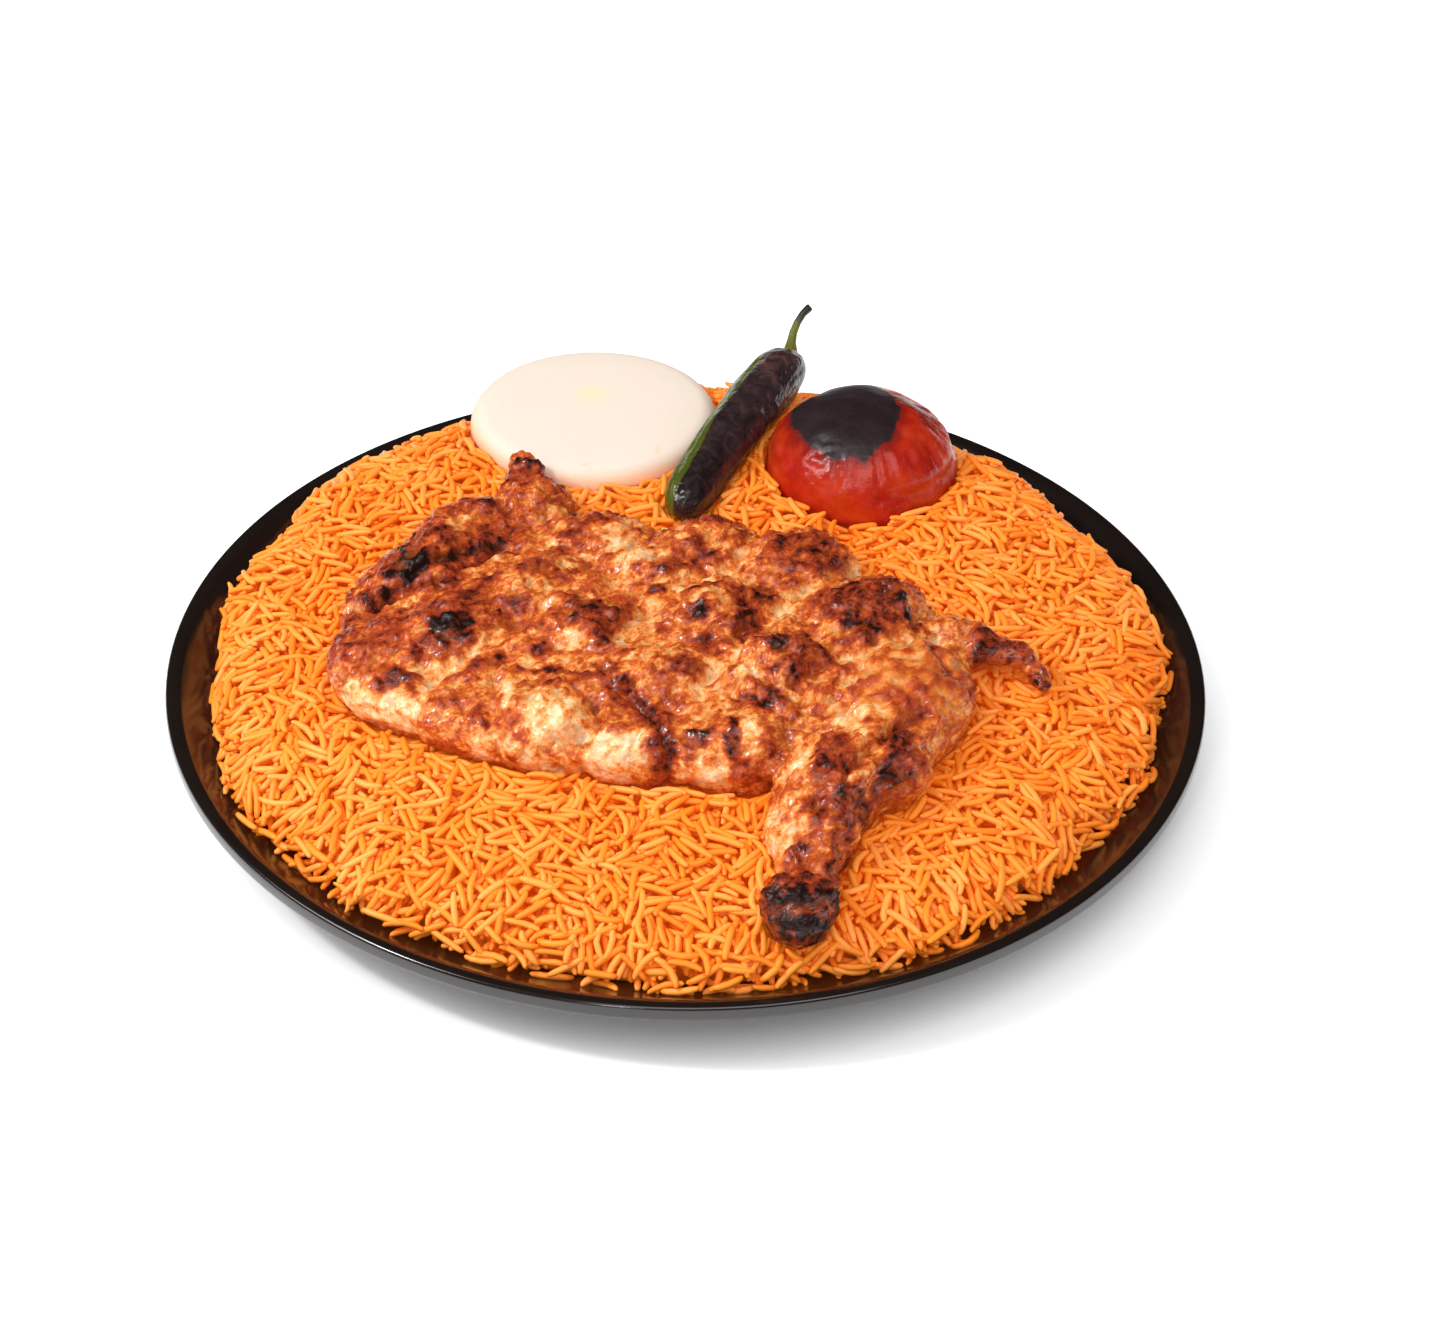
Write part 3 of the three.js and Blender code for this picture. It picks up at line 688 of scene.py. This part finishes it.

# %% [markdown]
# ## Onion finish
# The rings are a sine of the distance from the middle, bent by noise so that they are not perfect circles.
# They are hardly darker than the flesh. The heart is a little yellow-green, and some rice colour has run onto
# the face. The side below the face is tinted orange, partly by that stain and partly as painted light that
# the orange rice throws up onto it.

# %% Onion finish
flesh = Finish("raw onion", Specular_IOR_Level=0.25, Subsurface_Weight=0.2, Subsurface_Scale=0.004)
ONION_HEART = Vector((-33, 108, 49)) * MM
from_heart = flesh.away_from(ONION_HEART)
ring_turns = 1500 * from_heart + 5 * flesh.noise(0.03)
ring_wave = flesh.node("ShaderNodeMath", {"operation": "SINE"}, {0: ring_turns})
white = flesh.mix(ring_wave.between(0.1, 1.0) * 0.06, colour(225, 212, 199), colour(216, 200, 184))
heart = (1 - from_heart.between(0.002, 0.008)) * 0.55
greenish = flesh.mix(heart, white, colour(226, 218, 172))
stain = flesh.noise(0.006, detail=3).between(0.58, 0.74) * from_heart.between(0.03, 0.042) * 0.6
stained = flesh.mix(stain, greenish, colour(232, 190, 140))
# The side below the cut face turns orange: partly rice stain, partly painted light thrown up from the orange
# rice.
rice_stain_and_glow_below = 1 - flesh.height().between(44.6 * MM, 49.9 * MM)
flesh.feed("Base Color", flesh.mix(rice_stain_and_glow_below * 0.85, stained, colour(236, 184, 142)))
flesh.feed("Roughness", 0.34 + 0.2 * flesh.noise(0.005))
flesh.bump(flesh.noise(0.004, detail=3), 0.00006)
onion = finished_piece("cut_onion", mesh_from(onion_bm, "cut_onion"), flesh, "onion")

# %% [markdown]
# ## Tomato
# Half a tomato was grilled and lies on its cut face. Its skin has gone soft, wrinkled and glossy, and its top
# is burnt black. A dome is turned and its points are then pushed by noise: long folds down the right side,
# where the skin has come loose, and small puckers round the edge of the burn.

# %% Tomato shape
TOMATO_PLACE = Vector((53.5, 79, 0)) * MM
TOMATO_RADIUS = 31
TOMATO_BASE = 35
TOMATO_HEIGHT = 29.5
dome = [
    (TOMATO_RADIUS * math.cos(a) ** 0.72, TOMATO_BASE + 4 + (TOMATO_HEIGHT - 4) * math.sin(a))
    for a in map(math.radians, range(4, 90, 2))
]
sole_rises = [(0, 0), (12, 0), (24, 0.2), (28.5, 0.8), (30.4, 2.6)]
sole = [(r, TOMATO_BASE + rise) for r, rise in sole_rises]
tomato_bm = turned_shell(sole + dome + [(0, TOMATO_BASE + TOMATO_HEIGHT)], 160)
bmesh.ops.translate(tomato_bm, verts=tomato_bm.verts, vec=TOMATO_PLACE)
tomato_mesh = mesh_from(tomato_bm, "grilled_tomato")

# %% Tomato relief
skin_places, skin_ways = places_of(tomato_mesh)
tomato_x, tomato_y = TOMATO_PLACE.x / MM, TOMATO_PLACE.y / MM
bearing = np.arctan2(skin_places[:, 1] - tomato_y, skin_places[:, 0] - tomato_x)
above = (skin_places[:, 2] - TOMATO_BASE) / TOMATO_HEIGHT
right_side = eased(np.cos(bearing + 0.5), 0.1, 0.8)
ring_places = np.stack([np.cos(bearing) * 9, np.sin(bearing) * 9, above * 1.6], axis=1)
folds = 0.5 - np.abs(lumps(ring_places, 1.0, 12))
middle_height = eased(above, 0.08, 0.3) * (1 - eased(above, 0.72, 0.95))
tomato_push = 1.3 * (folds - 0.3) * right_side * middle_height
ledge = above + 0.04 * lumps(skin_places, 9, 51)
tomato_push -= 0.6 * right_side * hump(ledge, 0.42, 0.07)
tomato_push += 0.3 * right_side * hump(ledge, 0.56, 0.08)
tomato_push += 0.8 * lumps(skin_places, 17, 5) + 0.3 * lumps(skin_places, 6, 15) - 0.5
ragged_skin = bent(skin_places, 2.4, 6, 33)
SOOT = [(48, 80, 18.5, 25, 6, 1), (66, 88, 12, 6, -30, 0.44), (74, 80, 7, 4, -60, 0.4)]
burnt = strongest(ragged_skin, SOOT)
rim_of_burn = 4 * burnt * (1 - burnt)
tomato_push -= 0.35 * rim_of_burn
puckers = spot(skin_places, 41, 59, 9, 6, -35)
tomato_push += 0.55 * puckers * lumps(skin_places, 2.2, 44)
move_points(tomato_mesh, skin_places, skin_ways, tomato_push)
store(tomato_mesh, "burnt", burnt)

# %% Tomato finish
skin = Finish("grilled tomato skin", Specular_IOR_Level=0.35, Subsurface_Weight=0.12, Subsurface_Scale=0.004)
reds = skin.ramp(
    skin.noise(0.011, detail=4, roughness=0.55),
    (0.32, 154, 20, 6),
    (0.5, 172, 36, 10),
    (0.68, 183, 55, 15),
)
pinker = skin.mix(skin.noise(0.006, detail=2).between(0.5, 0.75) * 0.5, reds, colour(188, 54, 46))
burn_edge = skin.attribute("burnt") + 0.35 * (skin.noise(0.0035, detail=4) - 0.5)
darkened = skin.mix(burn_edge.between(0.12, 0.45) * 0.75, pinker, colour(112, 16, 8))
soot = skin.mix(skin.noise(0.008, detail=3), colour(24, 15, 17), colour(54, 38, 41))
skin.feed("Base Color", skin.mix(burn_edge.between(0.42, 0.56), darkened, soot))
skin.feed("Roughness", 0.16 + 0.2 * skin.noise(0.006, detail=3) + 0.16 * burn_edge.between(0.42, 0.56))
skin.bump(skin.noise(0.0022, detail=4), 0.00025)
tomato = finished_piece("grilled_tomato", tomato_mesh, skin, "tomato")

# %% [markdown]
# ## Chilli
# A long green chilli was charred until its skin went black and purple, with green left along its sides. Its
# pod is turned along its length, bent and laid on the rice. The skin has shrunk, so noise drawn out along the
# pod gives it long shallow wrinkles.

# %% Chilli shape
CHILLI_FROM = Vector((-4, 42, 47.5)) * MM
CHILLI_TO = Vector((32, 126, 53)) * MM
CHILLI_RADIUS = 8.9
chilli_way = (CHILLI_TO - CHILLI_FROM).normalized()
chilli_length = (CHILLI_TO - CHILLI_FROM).length / MM
pod_sides = [(0.012, 0.4), (0.04, 0.68), (0.08, 0.84), (0.15, 0.93), (0.35, 0.98), (0.55, 1)]
pod_shoulder = [(0.78, 1.06), (0.88, 1.0), (0.94, 0.86), (0.98, 0.6), (0.995, 0.4)]
pod_profile = [(r * CHILLI_RADIUS, t * chilli_length) for t, r in pod_sides + pod_shoulder]
pod_bm = turned_shell([(0, 0)] + pod_profile + [(0, chilli_length)], 36)
bmesh.ops.subdivide_edges(pod_bm, edges=pod_bm.edges, cuts=3, smooth=0.5, use_grid_fill=True)
for vertex in pod_bm.verts:
    vertex.co.x += 1.6 * MM * math.sin(math.pi * vertex.co.z / MM / chilli_length)
lie = chilli_way.to_track_quat("Z", "Y").to_matrix().to_4x4()
bmesh.ops.transform(pod_bm, matrix=Matrix.Translation(CHILLI_FROM) @ lie, verts=pod_bm.verts)
pod_mesh = mesh_from(pod_bm, "charred_chilli")

# %% Chilli relief and green sides
pod_places, pod_ways = places_of(pod_mesh)
offset = pod_places - np.array(CHILLI_FROM / MM)
along_pod = offset @ np.array(chilli_way)
aside = np.array(chilli_way.cross(Vector((0, 0, 1))).normalized())
sideways = offset @ aside
share_along = along_pod / chilli_length
drawn_out = np.stack([sideways / 2.2, pod_places[:, 2] / 2.2, along_pod / 16], axis=1)
pod_push = 0.4 * lumps(drawn_out, 1.0, 3) + 0.45 * lumps(pod_places, 12, 8) - 0.3
move_points(pod_mesh, pod_places, pod_ways, pod_push)
tip_widening = 0.4 * (1 - eased(share_along, 0.1, 0.5))
left_edge = eased(-sideways / CHILLI_RADIUS + tip_widening, 0.45, 0.75)
right_edge = 0.45 * eased(sideways / CHILLI_RADIUS, 0.6, 0.95) * eased(share_along, 0.5, 0.8)
low_side = eased(-pod_ways[:, 2], 0.05, 0.5) * eased(-sideways / CHILLI_RADIUS, -0.3, 0.3)
store(pod_mesh, "green", np.maximum.reduce([left_edge, right_edge, low_side]))
store(pod_mesh, "along", share_along)

# %% Chilli finish
charred = Finish("charred chilli skin", Specular_IOR_Level=0.5)
stretched = charred.noise(0.005, detail=6, roughness=0.7, distortion=0.5)
black_skin = charred.ramp(
    0.8 * stretched + 0.2 * charred.attribute("along"),
    (0.35, 26, 18, 19),
    (0.55, 54, 38, 39),
    (0.75, 104, 66, 58),
)
green_skin = charred.mix(charred.noise(0.01), colour(54, 66, 6), colour(84, 92, 18))
green_edge = charred.attribute("green") + 0.5 * (charred.noise(0.004, detail=3) - 0.5)
charred.feed("Base Color", charred.mix(green_edge.between(0.4, 0.6), black_skin, green_skin))
charred.feed("Roughness", 0.2 + 0.16 * charred.noise(0.005, detail=3))
charred.bump(charred.noise(0.006, detail=3, roughness=0.5), 0.0015)
pod = finished_piece("charred_chilli", pod_mesh, charred, "green_chilli")

# %% [markdown]
# ## Chilli stalk
# The stalk is a thin tube that widens into a cap on the pod. Rings of points are placed along its route,
# turned to face along it and bridged, which keeps the tube even where it bends.


# %% Chilli stalk
def tube_along(route, radii, sides):
    """A closed tube through points in millimetres, with a radius at each."""
    bm = bmesh.new()
    rings = []
    points = [Vector(point) for point in route]
    for i, (point, radius_here) in enumerate(zip(points, radii)):
        way = points[min(i + 1, len(points) - 1)] - points[max(i - 1, 0)]
        turn = way.to_track_quat("Z", "Y").to_matrix().to_4x4()
        at_end = i in (0, len(points) - 1)
        ring = bmesh.ops.create_circle(bm, segments=sides, radius=radius_here * MM, cap_ends=at_end)
        bmesh.ops.transform(bm, matrix=Matrix.Translation(point * MM) @ turn, verts=ring["verts"])
        rings.append(set(ring["verts"]))
    for lower, upper in zip(rings, rings[1:]):
        edges = [edge for edge in bm.edges if set(edge.verts) <= lower or set(edge.verts) <= upper]
        bmesh.ops.bridge_loops(bm, edges=edges)
    bmesh.ops.recalc_face_normals(bm, faces=bm.faces)
    return bm


STALK_ROUTE = [
    (30.8, 124.2, 53), (31.2, 127.3, 55), (31.5, 129.6, 57), (32.1, 132, 59.2),
    (33.4, 134.4, 61.6), (35.2, 136.4, 63.8), (37.2, 137.8, 65.3), (37.6, 138, 65.6),
]
STALK_RADII = [4.2, 2.4, 1.6, 1.35, 1.25, 1.2, 1.35, 1.1]
stalk_bm = tube_along(STALK_ROUTE, STALK_RADII, 16)
green = Finish("chilli stalk", Roughness=0.4)
fresh = green.mix(green.noise(0.004, detail=3), colour(66, 72, 14), colour(120, 122, 36))
withered_tip = green.height().between(60.5 * MM, 64.5 * MM)
green.feed("Base Color", green.mix(withered_tip, fresh, colour(38, 36, 24)))
green.bump(green.noise(0.001, detail=2), 0.0002)
finished_piece("chilli_stalk", mesh_from(stalk_bm, "chilli_stalk"), green, "green_chilli")

# %% [markdown]
# ## Rice
# The heap is thousands of long grains. Copying them at random makes them cross each other, which looks like a
# pile of needles. Real grains fall and rest on those below, so the heap is built the same way: a map of
# heights starts as a smooth core, each new grain is lowered until it touches the map in two places, and the
# map rises under it. Grains that would enter the chicken or the vegetables are left out.

# %% Heap core
HEAP_RADIUS = 143
HEAP_SHOULDER = 32
HEAP_CROWN = 6.5
BACK_RISE = 8
RICE_GAP = 0.4
CORE_DEPTH = 4.6
CORE_RADIUS = 133


def heap_radius(angle):
    """The heap's uneven outline, in millimetres."""
    waves = [(5, 1.5, 1), (11, 1.1, 0), (17, 0.8, 2)]
    return HEAP_RADIUS + sum(size * math.sin(count * angle + start) for count, size, start in waves)


def heap_top(x, y):
    """Height of the bare heap, in millimetres."""
    outline_radius = heap_radius(math.atan2(y, x))
    share = min(1.0, math.hypot(x, y) / outline_radius)
    outline = plate_inside(min(outline_radius, RIM_INSIDE)) + RICE_GAP + 0.9
    crown = HEAP_SHOULDER + HEAP_CROWN * (1 - share * share) + BACK_RISE * eased(y, 0, 95)
    return outline + (crown - outline) * (1 - share**10) ** 0.6


def core_top(x, y):
    """Height of the core that the grains lie on."""
    bed_here = plate_inside(math.hypot(x, y)) + RICE_GAP
    relief = 0.7 * noise.noise((x / 5, y / 5, 0))
    return max(bed_here + 0.5, heap_top(x * 1.06, y * 1.06) - CORE_DEPTH + relief)


bed_rings = [(r, plate_inside(r) + RICE_GAP) for r in (0, 60, 104, 110, 116, 122, 128, CORE_RADIUS)]
top_rings = [(CORE_RADIUS * share / 60, 60) for share in range(60, -1, -1)]
core_bm = turned_shell(bed_rings + top_rings, 168)
for vertex in core_bm.verts:
    if vertex.co.z > 50 * MM:
        vertex.co.z = core_top(vertex.co.x / MM, vertex.co.y / MM) * MM
print("core points", len(core_bm.verts))

# %% Height maps
CELL = 0.5
HALF = 150
COUNT = int(2 * HALF / CELL)
steps = (np.arange(COUNT) + 0.5) * CELL - HALF


def undersides(piece):
    """For each cell of the map, the height where a line from below first meets a piece."""
    tree = BVHTree.FromObject(piece, bpy.context.evaluated_depsgraph_get())
    low, high = Vector(piece.bound_box[0]), Vector(piece.bound_box[6])
    found = np.full((COUNT, COUNT), np.inf)
    for i in np.nonzero((steps * MM > low.x) & (steps * MM < high.x))[0]:
        for j in np.nonzero((steps * MM > low.y) & (steps * MM < high.y))[0]:
            hit = tree.ray_cast(Vector((steps[i] * MM, steps[j] * MM, 0)), Vector((0, 0, 1)))
            if hit[0]:
                found[i, j] = hit[0].z / MM
    return found


def hollow(x, y):
    """The rice is pressed down in front of the tomato."""
    return 4.5 * math.exp(-(((x - 50) / 16) ** 2) - ((y - 42) / 9) ** 2)


def clump(x, y):
    """Rice sticks together in low clumps."""
    return 1.5 * noise.noise((x / 12, y / 12, 9))


def beyond_heap(x, y):
    """True where a grain's end would stick out too far over the plate."""
    return math.hypot(x, y) > heap_radius(math.atan2(y, x)) + 1.5


def start_height(x, y):
    """What the first grain at a place lies on: the core, or the plate beyond it."""
    r = math.hypot(x, y)
    return core_top(x, y) if r < CORE_RADIUS else plate_inside(min(r, RIM_INSIDE)) + 0.2


def over_map(rule):
    """What a rule gives for each cell of the map."""
    return np.array([[rule(x, y) for y in steps] for x in steps])


ceiling = np.minimum.reduce([undersides(piece) for piece in (chicken, onion, tomato, pod)])
ceiling[over_map(beyond_heap)] = 0
rest_height = over_map(start_height)
target = over_map(heap_top) - over_map(hollow) + over_map(clump)
covered = ceiling < target + 6
margin = int(8 / CELL)
moves = [(0, 0), (margin, 0), (-margin, 0), (0, margin), (0, -margin)]
buried = np.logical_and.reduce([np.roll(covered, move, axis=(0, 1)) for move in moves])
print("height maps of", COUNT, "by", COUNT, "cells; covered cells", int(np.isfinite(ceiling).sum()))

# %% [markdown]
# ## One grain falls
# A grain is a thin blunt rod. Some turns are tried at each place. For each turn the rod is held over the map
# at nine points along it, and comes down until one point left of its middle and one right of it touch. The
# turn that leaves its high end lowest wins, so grains settle into the hollows between others, as they do in a
# dish. Cooked rice is soft, so the later falls only fill the low spots and press their grains in between the
# others, a little tilted. Near the outline most grains point outwards, which gives the heap its ragged edge.

# %% Where a grain comes to rest
GRAIN_LENGTH = 11
GRAIN_RADIUS = 1.04
SINK = 0.3
ROOF_GAP = 0.3
STEEPEST = 1.6
BLOCKED = 1000
draw = np.random.default_rng(11)
stations = np.linspace(-0.5, 0.5, 9)
girth = np.maximum(0.45, (1 - np.abs(2 * stations) ** 7) ** 0.55)


def cells_at(x, y):
    """Map indices of places in millimetres, kept inside the map."""
    i = np.clip(((x + HALF) / CELL).astype(int), 0, COUNT - 1)
    j = np.clip(((y + HALF) / CELL).astype(int), 0, COUNT - 1)
    return i, j


def best_rest(x, y, yaws, length, thick, sunk):
    """The yaw, middle height and slope of the lowest rest, and how far its top is over the target."""
    c, s = np.cos(yaws)[:, None], np.sin(yaws)[:, None]
    along, radii = stations * length, girth * thick
    px, py = x + c * along, y + s * along
    beside = [cells_at(px - side * radii * s, py + side * radii * c) for side in (-0.7, 0, 0.7)]
    support = np.maximum.reduce([rest_height[cells] for cells in beside]) + SINK * radii
    left, right = support[:, :5, None], support[:, None, 4:]
    span = along[None, 4:] - along[:5, None]
    tilt = np.where(span > 0, (right - left) / np.maximum(span, 1e-6), 0)
    middle = (left - tilt * along[None, :5, None]).reshape(len(yaws), -1)
    pick = middle.argmax(axis=1)
    rows = np.arange(len(yaws))
    height, slope = middle[rows, pick], tilt.reshape(len(yaws), -1)[rows, pick]
    height = height * (1 - sunk) + support.mean(axis=1) * sunk
    slope = slope * (1 - sunk) + (support * along).sum(axis=1) / (along**2).sum() * sunk
    tops = height[:, None] + slope[:, None] * along + radii
    over = (tops - target[beside[1]]).max(axis=1)
    roof = np.minimum.reduce([ceiling[cells] for cells in beside])
    over += BLOCKED * ((tops > roof - ROOF_GAP).any(axis=1) | (np.abs(slope) > STEEPEST))
    chosen = (over + 0.5 * np.abs(slope)).argmin()
    return yaws[chosen], height[chosen], slope[chosen], over[chosen]


def raise_map(x, y, yaw, height, slope, length, thick):
    """Lifts the map to the top of a grain that has come to rest."""
    c, s = math.cos(yaw), math.sin(yaw)
    reach = int(length / 2 / CELL) + 3
    ci, cj = int((x + HALF) / CELL), int((y + HALF) / CELL)
    window = (slice(max(0, ci - reach), ci + reach + 1), slice(max(0, cj - reach), cj + reach + 1))
    gx, gy = np.meshgrid(steps[window[0]] - x, steps[window[1]] - y, indexing="ij")
    run, off = gx * c + gy * s, np.abs(gy * c - gx * s)
    radius_here = np.interp(np.abs(run), stations[4:] * length, girth[4:] * thick, right=0.0)
    inside_grain = (off < radius_here) & (np.abs(run) < length / 2)
    top = height + slope * run + np.sqrt(np.maximum(0, radius_here**2 - off**2))
    rest_height[window] = np.where(inside_grain, np.maximum(rest_height[window], top), rest_height[window])


# %% Let the grains fall
OUTER_RING = 130
OUTWARD_SHARE = 0.65
PRESSED_TILT = 0.15


def lean(x, y):
    """The yaw that grains near a place share, and how far they stray from it."""
    if math.hypot(x, y) > OUTER_RING and draw.random() < OUTWARD_SHARE:
        return math.atan2(y, x), 0.35
    return 3 * math.pi * noise.noise((x / 24, y / 24, 4)), 1.0


TRIES = 20000
FALLS = [(0.8, 0.1, 2), (0.3, 0.2, 3), (-0.3, 0.4, 4), (-0.8, 0.6, 6), (-1.2, 0.8, 8), (-1.8, 0.9, 8)]
laid = []
for low_enough, sunk, turns in FALLS:
    low_cells = (rest_height < target + low_enough) & (rest_height < ceiling - 2.2) & ~buried
    for i, j in draw.permutation(np.argwhere(low_cells))[:TRIES]:
        if rest_height[i, j] > target[i, j] + low_enough:
            continue
        x, y = steps[i] + draw.uniform(-0.3, 0.3), steps[j] + draw.uniform(-0.3, 0.3)
        length, thick = GRAIN_LENGTH * draw.uniform(0.8, 1.12), GRAIN_RADIUS * draw.uniform(0.88, 1.1)
        shared_yaw, spread = lean(x, y)
        yaws = shared_yaw + draw.normal(0, spread, turns)
        yaw, height, slope, over = best_rest(x, y, yaws, length, thick, sunk)
        if over < 1.9 + draw.exponential(0.6):
            if sunk > 0.3 and np.isinf(ceiling[i, j]):
                slope += draw.normal(0, PRESSED_TILT)
            raise_map(x, y, yaw, height, slope, length, thick)
            laid.append((x, y, height, yaw, math.atan(slope), length, thick))
    print("sunk", sunk, "low cells", int(low_cells.sum()), "grains laid so far", len(laid))
draw.shuffle(laid)

# %% [markdown]
# ## The shape of a grain
# A cooked grain of long-grain rice is a blunt spindle, slightly bent. A small sphere is stretched into one,
# with few sides because there are thousands of them. One joined mesh holds half of the grains, and each grain
# keeps a random number as its own tone.

# %% Grain shape
seed_bm = bmesh.new()
bmesh.ops.create_uvsphere(seed_bm, u_segments=6, v_segments=6, radius=1)
seed_bm.verts.ensure_lookup_table()
seed_points = np.array([vertex.co for vertex in seed_bm.verts])
seed_faces = [[vertex.index for vertex in face.verts] for face in seed_bm.faces]
seed_bm.free()
end_share = np.sign(seed_points[:, 2]) * np.abs(seed_points[:, 2]) ** 0.8
around = seed_points[:, :2] / np.maximum(1e-6, np.hypot(seed_points[:, 0], seed_points[:, 1]))[:, None]
width_share = np.maximum(0, 1 - np.abs(end_share) ** 7) ** 0.55
print("triangles in a grain", sum(len(face) - 2 for face in seed_faces))


# %% Join the grains
def joined_grains(name, grains):
    """One mesh of many grains, each bent a little, with its own tone."""
    points, tones = [], []
    for x, y, z, yaw, pitch, length, thick in grains:
        bend = draw.normal(0, 1.1)
        body = np.empty((len(seed_points), 3))
        body[:, 0] = end_share * length / 2
        body[:, 1] = around[:, 0] * width_share * thick + bend * (end_share**2 - 0.4)
        body[:, 2] = around[:, 1] * width_share * thick * 0.92
        turn = np.array(Matrix.Rotation(yaw, 3, "Z") @ Matrix.Rotation(-pitch, 3, "Y"))
        points.append(body @ turn.T + (x, y, z))
        tones.append(draw.random())
    count = len(seed_points)
    faces = [[index + k * count for index in face] for k in range(len(grains)) for face in seed_faces]
    mesh = bpy.data.meshes.new(name)
    mesh.from_pydata((np.concatenate(points) * MM).tolist(), [], faces)
    store(mesh, "tone", np.repeat(tones, count))
    mesh.update()
    return mesh


# %% [markdown]
# ## Rice finish
# Rice cooked in spiced stock is orange all through and lets light in, so the gaps between grains glow orange
# rather than black. Light that passes through grain after grain would take long to trace, so a faint orange
# glow stands in for it. Tone differs from grain to grain and in slow clouds over the heap.

# %% Rice finish
GLOW_COLOUR = colour(255, 130, 10)
GLOW_STRENGTH = 0.07
grain = Finish("orange rice", Specular_IOR_Level=0.3, Emission_Strength=GLOW_STRENGTH)
grain_tone = 0.6 * grain.attribute("tone") + 0.55 * grain.noise(0.025, detail=3) - 0.08
warm = grain.ramp(
    grain_tone,
    (0.05, 238, 116, 20),
    (0.45, 250, 142, 38),
    (0.85, 255, 160, 72),
)
grain.feed("Base Color", warm)
grain.feed("Emission Color", grain.mix(0.6, warm, GLOW_COLOUR))
grain.feed("Roughness", 0.32 + 0.2 * grain.noise(0.004))
glow = {"Emission_Color": GLOW_COLOUR, "Emission_Strength": GLOW_STRENGTH}
bed = Finish("rice between the grains", Roughness=0.6, **glow)
bed.feed("Base Color", bed.mix(bed.noise(0.003), colour(250, 118, 10), colour(255, 144, 30)))
bed.bump(bed.noise(0.0025, detail=3), 0.0008)

finished_piece("rice_core", mesh_from(core_bm, "rice_core"), bed, "rice")
half = len(laid) // 2
for name, share in (("rice_grains", laid[:half]), ("rice_grains_top", laid[half:])):
    finished_piece(name, joined_grains(name, share), grain, "rice")
